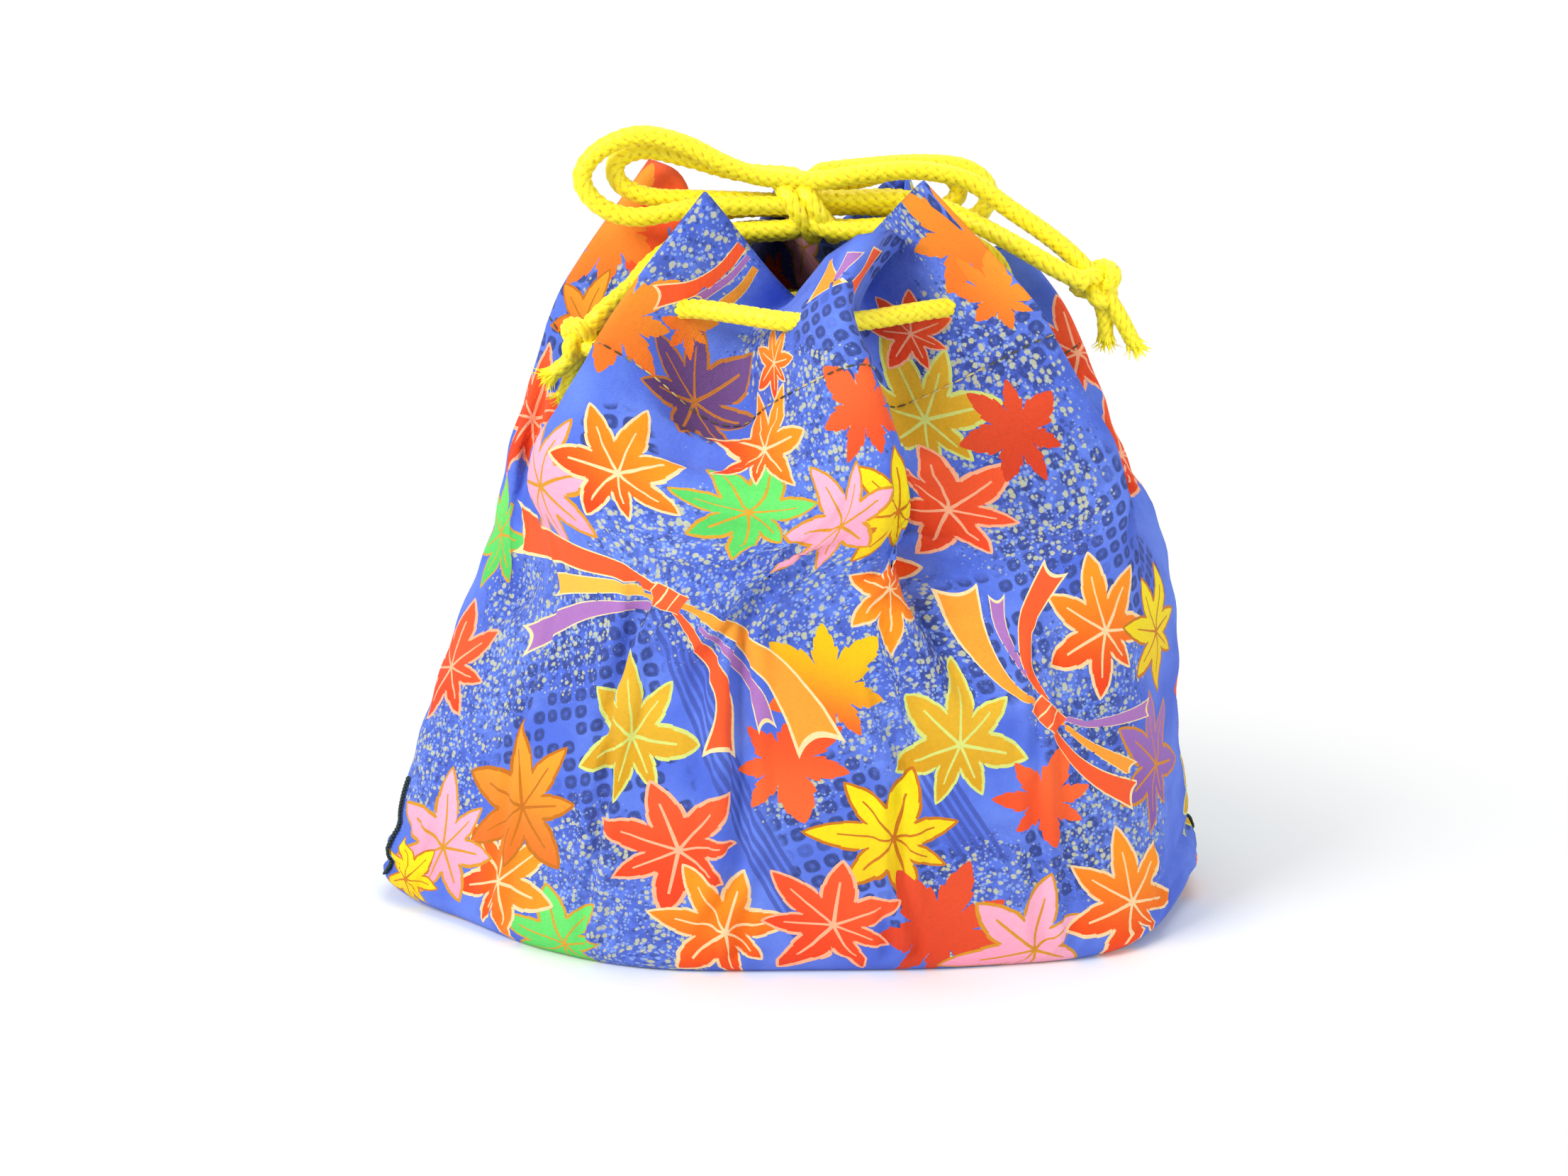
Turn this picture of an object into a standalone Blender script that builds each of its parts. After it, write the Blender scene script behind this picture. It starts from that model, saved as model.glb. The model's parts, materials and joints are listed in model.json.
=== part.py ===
"""A drawstring pouch of printed cloth, gathered at the mouth by two braided cords that are tied in a bow.

The cloth stands on its own flat base. Its mouth is pleated into eight folds, each cord is woven through holes
in the folds below the hem, and both ends of each cord leave the pouch together and end in one knot.
Metres, +Z up, the origin under the middle of the base, and the front of the pouch facing -Y.
"""

import bmesh
import bpy
import numpy as np
from mathutils import Vector

# Driving sizes of the cloth.
POUCH_WIDTH = 0.196
POUCH_DEPTH = 0.100
POUCH_HEIGHT = 0.172
CLOTH_THICKNESS = 0.0012
BASE_EDGE_RADIUS = 0.004
CORNER_LIFT = 0.004
CORNER_CURL_HEIGHT = 0.020

# Driving sizes of the cords and the knots.
CORD_DIAMETER = 0.0045
HOLE_CLEARANCE = 0.0005
SEAT_GAP = 0.0003
BOW_HALF_SIZE = np.array((0.0065, 0.0095, 0.0095))
KNOT_HALF_SIZE = np.array((0.0055, 0.0046, 0.0046))
SEAM_EDGE_THICKNESS = 0.0016
LEFT_SEAM_TOP = 0.031
RIGHT_SEAM_TOP = 0.046

# The folds and outlines below are drawn on a pouch of this size, in millimetres, and stretch with the real one.
DRAWN_WIDTH = 196
DRAWN_DEPTH = 100
DRAWN_HEIGHT = 172
DRAWN_MIDDLE_X = 1.85
DRAWN_MIDDLE_Y = 0.5

# Half way up, at the hem's stitching, at the drawcords and at the hem's edge: where each fold line of the cloth
# runs. Ridges stand out and notches lie between them, from the left side round the front to the right and back.
FOLDS = (
    ("left_ridge", (-62, 6, 112), (-54, 8, 138), (-47, 9, 151), (-33, 14, 172)),
    ("front_left_notch", (-56, -10, 106), (-41, -8, 124), (-32, -6, 138), (-14, -4, 143)),
    ("front_left_ridge", (-55, -31, 111), (-40, -31, 138), (-32, -28, 150), (-17, -22, 169)),
    ("front_middle_left_notch", (-12, -48, 104), (-11, -30, 122), (-8, -22, 138), (2, -12, 147)),
    ("front_pleat", (21, -56, 108), (15, -55, 137), (12, -50, 148), (9, -29, 155)),
    ("front_middle_right_notch", (31, -43, 104), (24, -28, 123), (18, -20, 138), (16, -8, 150)),
    ("front_right_ridge", (77, -21, 106), (58, -27, 139), (50, -27, 150), (30, -20, 171)),
    ("front_right_notch", (66, -8, 106), (50, -6, 124), (41, -5, 138), (26, -4, 146)),
    ("right_ridge", (79, 5, 108), (69, 9, 132), (63, 9, 143), (53, 8, 155)),
    ("back_right_notch", (60, 24, 106), (45, 20, 124), (38, 17, 138), (28, 12, 150)),
    ("back_right_ridge", (50, 46, 110), (43, 48, 137), (38, 45, 149), (29, 36, 170)),
    ("back_middle_right_notch", (22, 50, 104), (18, 33, 123), (15, 25, 138), (10, 14, 150)),
    ("back_pleat", (-2, 57, 110), (-2, 55, 138), (-2, 50, 150), (-2, 32, 165)),
    ("back_middle_left_notch", (-25, 48, 104), (-20, 32, 123), (-16, 25, 138), (-8, 14, 150)),
    ("back_left_ridge", (-46, 44, 110), (-41, 44, 136), (-36, 41, 148), (-24, 33, 168)),
    ("back_left_notch", (-54, 22, 106), (-40, 18, 124), (-32, 15, 138), (-22, 9, 146)),
)
FOLD_COUNT = len(FOLDS)
LEFT_RIDGE, RIGHT_RIDGE = 0, 8

# The base seen from above, from the left corner round the front.
BASE_OUTLINE = (
    (-96, -6), (-74, -24), (-58, -37), (-42, -46), (-25, -49.5), (0, -50), (30, -49),
    (55, -46), (74, -41), (86, -30), (94, -14), (100, 6), (92, 24), (78, 37), (55, 45),
    (28, 49.5), (0, 50), (-30, 48), (-56, 42), (-78, 27), (-90, 10),
)
# The two smooth rows between the base and the folds: height, then how far the outline has drawn in at the
# left, at the right, and from front to back.
SMOOTH_ROWS = ((45, 0.885, 0.947, 1.08), (85, 0.73, 0.905, 1.10))

# Rows of the cloth: base edge, two smooth rows, half way, stitching, drawcords, hem.
CORD_ROW, HEM_ROW = 5, 6
LEFT_CORD_ROW = 4.5
# How round the cloth turns at a ridge and in a notch, row by row. 1 is as round as a smooth bag.
RIDGE_ROUNDNESS = (1, 1, 1, 0.8, 0.5, 0.45, 0.4)
NOTCH_ROUNDNESS = (1, 1, 1, 0.9, 0.6, 0.55, 0.5)

SEGMENTS_PER_FOLD = 4
SEGMENTS_PER_ROW = (3, 3, 2, 3, 2, 2)
BASE_RINGS = (0.7, 0.36)
CORD_STEP = 0.005
ROUTE_STEP = 0.0005


def scaled(x, y, z):
    """A drawn point, in millimetres, on the real pouch."""
    return np.array((
        (x - DRAWN_MIDDLE_X) * POUCH_WIDTH / DRAWN_WIDTH,
        (y - DRAWN_MIDDLE_Y) * POUCH_DEPTH / DRAWN_DEPTH,
        z * POUCH_HEIGHT / DRAWN_HEIGHT,
    ))


def spline(points, at, closed=False):
    """A smooth curve through evenly numbered points, read at the number at."""
    points = np.asarray(points, float)
    count = len(points)
    low = int(np.floor(at)) if closed else int(np.clip(np.floor(at), 0, count - 2))
    part = at - low

    def pick(index):
        if closed:
            return points[index % count]
        if index < 0:
            return 2 * points[0] - points[1]
        if index > count - 1:
            return 2 * points[-1] - points[-2]
        return points[index]

    before, start, end, after = (pick(low + k) for k in (-1, 0, 1, 2))
    return hermite(start, end, (end - before) / 2, (after - start) / 2, part)


def hermite(start, end, leaving, arriving, part):
    """The cubic between two points with these tangents."""
    square, cube = part**2, part**3
    return (
        (2 * cube - 3 * square + 1) * start
        + (cube - 2 * square + part) * leaving
        + (3 * square - 2 * cube) * end
        + (cube - square) * arriving
    )


def walked(points):
    """The distance along a line of points at each of them."""
    return np.concatenate([[0], np.cumsum(np.linalg.norm(np.diff(points, axis=0), axis=1))])


def respaced(points, step):
    """The same line with its points a step apart."""
    along = walked(points)
    at = np.linspace(0, along[-1], max(2, int(round(along[-1] / step)) + 1))
    return np.stack([np.interp(at, along, points[:, axis]) for axis in range(3)], axis=1)


def fold_positions():
    """Where each fold line stands round the cloth, as a share of the way round, from the lengths at the cords."""
    ring = np.array([scaled(*fold[1 + CORD_ROW - 3]) for fold in FOLDS])
    along = walked(np.vstack([ring, ring[:1]]))
    return along[:-1] / along[-1]


def outline_points(shares, left=1.0, right=1.0, depth=1.0):
    """Points of the base outline at these shares of its length, drawn in by the three factors."""
    count = len(BASE_OUTLINE)
    fine = np.array([spline(BASE_OUTLINE, k * count / 400, True) for k in range(401)])
    along = np.concatenate([[0], np.cumsum(np.linalg.norm(np.diff(fine, axis=0), axis=1))])
    at = np.asarray(shares) * along[-1]
    x, y = (np.interp(at, along, fine[:, axis]) for axis in range(2))
    return np.stack([np.where(x < 0, left * x, right * x), depth * y], axis=1)


def cloth_net():
    """The fold lines' points, row by row: the cloth is a smooth surface through them."""
    shares = fold_positions()
    base = [scaled(x, y, 0) for x, y in outline_points(shares)]
    edge = np.array([point + (0, 0, BASE_EDGE_RADIUS) for point in base])
    rows = [edge]
    for height, left, right, depth in SMOOTH_ROWS:
        rows.append(np.array([scaled(x, y, height) for x, y in outline_points(shares, left, right, depth)]))
    for row in range(1, 5):
        rows.append(np.array([scaled(*fold[row]) for fold in FOLDS]))
    return np.array(rows)


NET = cloth_net()


def cloth_point(fold, row):
    """The outer surface of the cloth, at a number of folds round and a number of rows up."""
    ring = np.array([spline(NET[:, k], row) for k in range(FOLD_COUNT)])
    low = int(np.floor(fold))
    start, end = ring[low % FOLD_COUNT], ring[(low + 1) % FOLD_COUNT]
    tangents = []
    for k in (low, low + 1):
        roundness = RIDGE_ROUNDNESS if k % 2 == 0 else NOTCH_ROUNDNESS
        turn = np.interp(row, range(len(roundness)), roundness)
        tangents.append(turn * (ring[(k + 1) % FOLD_COUNT] - ring[(k - 1) % FOLD_COUNT]) / 2)
    return hermite(start, end, tangents[0], tangents[1], fold - low)


def cloth_normal(fold, row):
    """The outward direction of the cloth there."""
    step = 0.02
    across = cloth_point(fold + step, row) - cloth_point(fold - step, row)
    up = cloth_point(fold, min(row + step, HEM_ROW)) - cloth_point(fold, max(row - step, 0))
    normal = np.cross(across, up)
    return normal / np.linalg.norm(normal)


def corner_lifted(point):
    """The base's side corners curl up off the floor a little."""
    reach = min(1.0, abs(point[0]) / (POUCH_WIDTH / 2))
    fade = max(0.0, 1 - point[2] / CORNER_CURL_HEIGHT)
    return point + np.array((0, 0, CORNER_LIFT * reach**8 * fade))


def material(name, colour, roughness):
    made = bpy.data.materials.new(name)
    made.use_nodes = True
    shader = made.node_tree.nodes["Principled BSDF"]
    shader.inputs["Base Color"].default_value = (*colour, 1)
    shader.inputs["Roughness"].default_value = roughness
    shader.inputs["Metallic"].default_value = 0
    return made


def collection(name):
    made = bpy.data.collections.new(name)
    bpy.context.scene.collection.children.link(made)
    return made


def mesh_object(name, mesh, home, look=None):
    made = bpy.data.objects.new(name, mesh)
    home.objects.link(made)
    if look:
        mesh.materials.append(look)
    return made


def hide_cutter(cutter):
    cutter.hide_render = True
    cutter.display_type = "WIRE"


def cut(target, cutter):
    modifier = target.modifiers.new("cut", "BOOLEAN")
    modifier.operation = "DIFFERENCE"
    modifier.object = cutter


def cloth_mesh():
    """The cloth as one open surface, from the middle of the base up to the hem."""
    columns = FOLD_COUNT * SEGMENTS_PER_FOLD
    rows = [0.0]
    for row, count in enumerate(SEGMENTS_PER_ROW):
        rows += [row + (k + 1) / count for k in range(count)]
    sides = [
        [corner_lifted(cloth_point(k / SEGMENTS_PER_FOLD, row)) for k in range(columns)]
        for row in rows
    ]
    edge = np.array(sides[0])
    centre = edge.mean(axis=0) * (1, 1, 0)
    span = np.linalg.norm(edge[:, :2] - centre[:2], axis=1)
    inset = 1 - BASE_EDGE_RADIUS / span
    rings = []
    for share in (*BASE_RINGS[::-1], 1.0):
        flat = centre + (edge - centre) * (inset * share)[:, None]
        flat[:, 2] = 0
        rings.append([corner_lifted(point) if share == 1.0 else point for point in flat])
    mesh = bmesh.new()
    middle = mesh.verts.new(centre)
    loops = [[mesh.verts.new(point) for point in ring] for ring in rings + sides]
    for k in range(columns):
        mesh.faces.new((middle, loops[0][(k + 1) % columns], loops[0][k]))
    for low, high in zip(loops, loops[1:]):
        for k in range(columns):
            following = (k + 1) % columns
            mesh.faces.new((low[k], low[following], high[following], high[k]))
    made = bpy.data.meshes.new("pouch_cloth")
    mesh.to_mesh(made)
    mesh.free()
    return made


def tube(name, points, diameter, home, look=None):
    """A closed mesh tube with flat ends, along these points."""
    curve = bpy.data.curves.new(name, "CURVE")
    curve.dimensions = "3D"
    curve.bevel_depth = diameter / 2
    curve.bevel_resolution = 2
    curve.use_fill_caps = True
    line = curve.splines.new("POLY")
    line.points.add(len(points) - 1)
    for point, place in zip(line.points, points):
        point.co = (*place, 1)
    drawn = bpy.data.objects.new(name + "_line", curve)
    home.objects.link(drawn)
    bpy.context.view_layer.update()
    solid = bpy.data.meshes.new_from_object(drawn.evaluated_get(bpy.context.evaluated_depsgraph_get()))
    solid.name = name
    bpy.data.objects.remove(drawn)
    bpy.data.curves.remove(curve)
    welded = bmesh.new()
    welded.from_mesh(solid)
    bmesh.ops.remove_doubles(welded, verts=welded.verts, dist=0.00001)
    welded.to_mesh(solid)
    welded.free()
    solid.shade_smooth()
    return mesh_object(name, solid, home, look)


def ball(name, centre, half_size, home, look=None):
    """A closed egg shape with these half sizes."""
    shape = bmesh.new()
    bmesh.ops.create_uvsphere(shape, u_segments=16, v_segments=10, radius=1)
    for vertex in shape.verts:
        vertex.co = Vector(np.array(vertex.co) * half_size + centre)
    mesh = bpy.data.meshes.new(name)
    shape.to_mesh(mesh)
    shape.free()
    mesh.shade_smooth()
    return mesh_object(name, mesh, home, look)


# Which notches each cord crosses outside the cloth, and which it passes on the inside. Both run from the
# notch where the cord leaves the pouch, right round and back to it.
RIGHT_CORD_NOTCHES = ((5, True), (3, True), (1, False), (15, False), (13, False), (11, False), (9, False))
LEFT_CORD_NOTCHES = ((13, True), (11, True), (9, True), (7, False), (5, False), (3, False), (1, False))
RIGHT_EXIT_NOTCH, LEFT_EXIT_NOTCH = 7, 15
HOLE_SHARE, EXIT_HOLE_SHARE = 0.5, 0.4
INSIDE_OFFSET = 0.007
RIGHT_CORD_INSIDE_RISE = 0.005


def hole(notch, side, row, share=HOLE_SHARE):
    """Where a cord passes the wall of a notch, this share of the way to the next ridge on that side."""
    return cloth_point(notch + side * share, row)


def round_the_mouth(exit_notch, notches, way, row, rise):
    """The route of a cord from its first hole, round the mouth of the pouch, to its last hole."""
    route = [hole(exit_notch, way, row, EXIT_HOLE_SHARE)]
    for notch, outside in notches:
        if outside:
            route += [hole(notch, -way, row), hole(notch, way, row)]
        else:
            inside = cloth_point(notch, row) - INSIDE_OFFSET * cloth_normal(notch, row)
            route.append(inside + (0, 0, rise))
    route.append(hole(exit_notch, -way, row, EXIT_HOLE_SHARE))
    return np.array(route)


# From the bow down to each cord's holes, in the pouch's drawn millimetres.
RIGHT_EXIT_A = ((6, -2.5, 159.5), (14, -4, 158.5), (26, -5, 158.5), (36, -6, 156), (43, -9, 151))
RIGHT_EXIT_B = ((6, 2.5, 159), (14, 2, 158.5), (26, 1.5, 159), (38, 1, 157), (48, -2, 151))
LEFT_EXIT_A = ((4, 10, 157.5), (-8, 10.5, 157.5), (-16, 10, 156), (-22.5, 11.5, 153.5), (-29, 17.5, 149.5), (-37, 23, 145))
LEFT_EXIT_B = ((4, 9, 162.5), (-8, 9.5, 162.5), (-16, 9.5, 161.5), (-23, 12.5, 159.5), (-30, 17, 155), (-38, 17.5, 148.5))
# The bow's loops, out from the bow and back to it.
LOOP_LEFT_OUTER = (
    (4, -1, 164), (-8, -2, 164), (-20, -2.5, 163.5), (-33, -2.5, 161.5), (-41, -2.5, 164),
    (-45, -2.5, 170), (-41, -2.5, 176), (-32, -2.5, 179.5), (-22, -2.5, 177.5), (-14, -2.2, 173.5),
    (-6, -1.5, 170.5), (4, -1, 169.5),
)
LOOP_LEFT_INNER = (
    (4, 4, 164), (-8, 4, 164.5), (-20, 3.5, 165), (-30, 3, 165.5), (-37, 3, 168.5),
    (-37.5, 3, 173.5), (-31, 3, 176), (-21, 3, 174), (-10, 4, 171), (4, 4, 170),
)
LOOP_RIGHT_OUTER = (
    (6, 7, 158.5), (16, 8, 158), (28, 9, 158.5), (38, 10, 158.5), (45, 9, 161.5),
    (46.5, 9, 167), (41, 9, 171.5), (30, 9, 172.5), (16, 9, 171.5), (6, 7, 170.5),
)
LOOP_RIGHT_INNER = (
    (6, 10.5, 162.5), (18, 14, 162.5), (28, 15, 161.5), (36, 15, 161.5), (40.5, 14.5, 166),
    (36, 14.5, 170.5), (26, 14.5, 170.5), (17, 14, 168.5), (6, 11.5, 167.3),
)
# The tails, from the bow to each cord's end knot.
RIGHT_TAIL_UPPER = (
    (6, -1.5, 169), (14, -2, 170.5), (22, -2, 171.5), (31, -2.5, 171.7), (41, -3, 169.5),
    (50, -3.5, 163.5), (58, -4, 158.2), (64, -4, 153.5), (69, -4.5, 148.5),
)
RIGHT_TAIL_LOWER = (
    (6, 2.5, 165), (14, 3, 165), (26, 2.5, 165.2), (36, 0, 163), (44, -4, 159.5),
    (52, -8, 155.5), (60, -9.5, 151), (67, -8.5, 147.5),
)
LEFT_TAIL_UPPER = (
    (4, -2, 159), (-6, -2.5, 158.5), (-15, -3, 158), (-23, -6, 155.5), (-29, -9.5, 151),
    (-34.5, -13, 146.5), (-40, -16.5, 142), (-44, -17, 137.5),
)
LEFT_TAIL_LOWER = (
    (4, 3, 158), (-6, 3, 157.5), (-14, 3, 157.2), (-22.5, 1.5, 155.8), (-31, -3, 150),
    (-37, -8.5, 141.5), (-42.5, -13, 137),
)
# The cut ends that hang out of each end knot.
RIGHT_ENDS = (((70, -4, 146), (72, -4, 140), (72.5, -4, 134)), ((71, -5, 146), (75, -6, 140), (79, -6, 133)))
LEFT_ENDS = (((-44, -16, 135), (-48, -17, 131), (-52, -17, 128)), ((-45, -16, 134), (-47, -15, 128), (-49, -14, 123)))


def placed(points):
    return np.array([scaled(*point) for point in points])


def smooth_route(points):
    """A smooth line through a route's points, with its points close together."""
    count = len(points)
    fine = np.array([spline(points, at) for at in np.linspace(0, count - 1, 24 * (count - 1) + 1)])
    return respaced(fine, ROUTE_STEP)


def nearest_index(line, point):
    return int(np.linalg.norm(line - point, axis=1).argmin())


def held_cord(side, exit_a, exit_b, ring):
    """A cord's smooth line from the bow, through the cloth, round the mouth and back to the bow, cut in three
    just outside its first and last holes. Returns the way in, the way round and the way out."""
    route = np.vstack([placed(exit_a), ring, placed(exit_b)[::-1]])
    line = smooth_route(route)
    outside = int(round(1.2 * CORD_DIAMETER / ROUTE_STEP))
    first = nearest_index(line, ring[0]) - outside
    last = nearest_index(line, ring[-1]) + outside
    gap = max(1, int(round(SEAT_GAP / ROUTE_STEP)))
    return {
        f"{side}_cord_exit_a": line[: first - gap + 1],
        f"{side}_cord_in_hem": line[first : last + 1],
        f"{side}_cord_exit_b": line[last + gap :],
    }


def make_knot(name, ends):
    """A cord's end knot: a round lump with two cut ends hanging out of it."""
    lump = ball(name, *KNOTS[name], PARTS, CORD_LOOK)
    for index, end in enumerate(ends):
        tail = tube(f"{name}_end_{index}", respaced(smooth_route(placed(end)), CORD_STEP), CORD_DIAMETER, CUTTERS)
        hide_cutter(tail)
        modifier = lump.modifiers.new("join", "BOOLEAN")
        modifier.operation = "UNION"
        modifier.object = tail
    return lump


for left_over in list(bpy.data.objects):
    bpy.data.objects.remove(left_over)
PARTS = collection("drawstring_pouch")
CUTTERS = collection("cutters")

CLOTH_LOOK = material("printed_cloth", (0.16, 0.22, 0.72), 0.85)
CORD_LOOK = material("yellow_braid", (0.95, 0.86, 0.02), 0.5)
THREAD_LOOK = material("dark_thread", (0.02, 0.05, 0.05), 0.8)

RIGHT_RING = round_the_mouth(RIGHT_EXIT_NOTCH, RIGHT_CORD_NOTCHES, -1, CORD_ROW, RIGHT_CORD_INSIDE_RISE)
LEFT_RING = round_the_mouth(LEFT_EXIT_NOTCH, LEFT_CORD_NOTCHES, -1, LEFT_CORD_ROW, 0.0)


KNOTS = {
    "bow_knot": (scaled(5, 4, 163), BOW_HALF_SIZE),
    "right_end_knot": (scaled(70, -5, 147), KNOT_HALF_SIZE),
    "left_end_knot": (scaled(-44, -16, 136), KNOT_HALF_SIZE),
}


def clear_of_knot(line, index, centre, half_size):
    """Whether a cord cut off square at this point of its line stays out of the knot."""
    ahead = line[min(index + 1, len(line) - 1)] - line[max(index - 1, 0)]
    across = np.array(Vector(ahead).orthogonal().normalized())
    upward = np.cross(ahead / np.linalg.norm(ahead), across)
    reach = half_size + SEAT_GAP
    turns = np.linspace(0, 2 * np.pi, 13)[:, None]
    rim = line[index] + CORD_DIAMETER / 2 * (np.cos(turns) * across + np.sin(turns) * upward)
    return bool((np.linalg.norm((rim - centre) / reach, axis=1) > 1).all())


def cord_points(line):
    """A cord's line with few points, ending square to the line at both ends."""
    points = respaced(line, CORD_STEP)
    return np.vstack([points[:1], line[1:2], points[1:-1], line[-2:-1], points[-1:]])


def trimmed(line, start_knot, end_knot):
    """The part of a cord's line between the two knots that it ends at."""
    first, last = 0, len(line) - 1
    while start_knot and not clear_of_knot(line, first, *KNOTS[start_knot]):
        first += 1
    while end_knot and not clear_of_knot(line, last, *KNOTS[end_knot]):
        last -= 1
    return line[first : last + 1]


def make_cords():
    """Every stretch of the two cords, each cut off where it meets a knot."""
    right = held_cord("right", RIGHT_EXIT_A, RIGHT_EXIT_B, RIGHT_RING)
    left = held_cord("left", LEFT_EXIT_A, LEFT_EXIT_B, LEFT_RING)
    lines = {**right, **left}
    for side in ("right", "left"):
        lines[f"{side}_cord_exit_a"] = trimmed(lines[f"{side}_cord_exit_a"], "bow_knot", None)
        lines[f"{side}_cord_exit_b"] = trimmed(lines[f"{side}_cord_exit_b"], None, "bow_knot")
    loops = {
        "right_cord_loop_a": LOOP_LEFT_OUTER,
        "right_cord_loop_b": LOOP_LEFT_INNER,
        "left_cord_loop_a": LOOP_RIGHT_OUTER,
        "left_cord_loop_b": LOOP_RIGHT_INNER,
    }
    for name, points in loops.items():
        lines[name] = trimmed(smooth_route(placed(points)), "bow_knot", "bow_knot")
    tails = {
        "right_cord_tail_a": RIGHT_TAIL_UPPER,
        "right_cord_tail_b": RIGHT_TAIL_LOWER,
        "left_cord_tail_a": LEFT_TAIL_UPPER,
        "left_cord_tail_b": LEFT_TAIL_LOWER,
    }
    for name, points in tails.items():
        side = name.split("_")[0]
        lines[name] = trimmed(smooth_route(placed(points)), "bow_knot", f"{side}_end_knot")
    for name, line in lines.items():
        tube(name, cord_points(line), CORD_DIAMETER, PARTS, CORD_LOOK)
    ball("bow_knot", *KNOTS["bow_knot"], PARTS, CORD_LOOK)
    make_knot("right_end_knot", RIGHT_ENDS)
    make_knot("left_end_knot", LEFT_ENDS)
    return lines


def make_pouch(lines):
    """The cloth, as thick as it is, with the holes that the cords pass."""
    pouch = mesh_object("pouch_cloth", cloth_mesh(), PARTS, CLOTH_LOOK)
    pouch.data.shade_smooth()
    wall = pouch.modifiers.new("thickness", "SOLIDIFY")
    wall.thickness = CLOTH_THICKNESS
    wall.offset = -1
    reach = int(round(0.5 * CORD_DIAMETER / ROUTE_STEP))
    for side in ("right", "left"):
        line = lines[f"{side}_cord_in_hem"]
        before = lines[f"{side}_cord_exit_a"][-reach]
        after = lines[f"{side}_cord_exit_b"][reach]
        path = np.vstack([before, cord_points(line), after])
        bore = tube(f"{side}_cord_holes", path, CORD_DIAMETER + 2 * HOLE_CLEARANCE, CUTTERS)
        hide_cutter(bore)
        cut(pouch, bore)


def make_seam_edge(name, fold, top):
    """The dark overlocked edge that shows on a lower side corner, as a thin strip lying on the cloth."""
    stand_off = SEAM_EDGE_THICKNESS / 2 + SEAT_GAP
    highest = np.interp(top, NET[:3, fold, 2], range(3))
    points = []
    for row in np.linspace(0, highest, 8):
        place = corner_lifted(cloth_point(fold, row))
        points.append(place + stand_off * cloth_normal(fold, row))
    tube(name, np.array(points), SEAM_EDGE_THICKNESS, PARTS, THREAD_LOOK)


cord_lines = make_cords()
make_pouch(cord_lines)
make_seam_edge("left_seam_edge", LEFT_RIDGE, LEFT_SEAM_TOP)
make_seam_edge("right_seam_edge", RIGHT_RIDGE, RIGHT_SEAM_TOP)
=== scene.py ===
"""A drawstring pouch of printed cotton, gathered by two braided cords that are tied in a bow."""

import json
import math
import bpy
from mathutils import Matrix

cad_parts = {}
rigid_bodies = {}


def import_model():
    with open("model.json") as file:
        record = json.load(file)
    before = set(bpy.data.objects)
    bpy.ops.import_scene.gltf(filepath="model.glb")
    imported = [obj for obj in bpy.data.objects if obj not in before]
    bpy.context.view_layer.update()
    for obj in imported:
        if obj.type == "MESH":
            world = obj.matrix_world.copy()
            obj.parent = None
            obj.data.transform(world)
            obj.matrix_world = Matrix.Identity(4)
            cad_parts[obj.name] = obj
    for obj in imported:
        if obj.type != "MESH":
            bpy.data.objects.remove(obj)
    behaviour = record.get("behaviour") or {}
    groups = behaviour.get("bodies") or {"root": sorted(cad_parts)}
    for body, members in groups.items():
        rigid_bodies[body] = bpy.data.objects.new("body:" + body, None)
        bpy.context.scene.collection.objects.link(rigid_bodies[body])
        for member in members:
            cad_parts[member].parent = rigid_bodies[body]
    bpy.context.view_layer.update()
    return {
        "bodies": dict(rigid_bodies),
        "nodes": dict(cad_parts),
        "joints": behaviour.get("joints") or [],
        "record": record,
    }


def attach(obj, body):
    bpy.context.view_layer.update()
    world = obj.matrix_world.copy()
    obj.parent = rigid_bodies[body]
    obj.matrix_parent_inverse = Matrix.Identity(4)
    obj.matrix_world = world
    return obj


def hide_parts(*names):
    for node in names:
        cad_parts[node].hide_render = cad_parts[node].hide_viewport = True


bl_info = {
    "name": "Drawstring Pouch",
    "version": (1, 0, 0),
    "blender": (4, 5, 0),
    "location": "3D View > Sidebar > Pouch",
    "description": "Builds a printed drawstring pouch with braided cords, hem stitches and a studio stage",
    "category": "Object",
}

import bmesh
import bpy
import numpy as np
from mathutils import Vector
from mathutils.bvhtree import BVHTree

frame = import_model()

MM = 0.001
DRAWN_MIDDLE = np.array((1.85, 0.5, 0.0))

# The photograph's frame, in its own pixels, and the camera that took it, in the pouch's drawn millimetres.
PHOTO_WIDTH, PHOTO_HEIGHT = 2212, 1659
LENS, SENSOR = 50, 36
CAMERA_TARGET = (0, 0, 75.3)
CAMERA_DISTANCE = 0.51
CAMERA_ELEVATION = math.radians(15)

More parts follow.
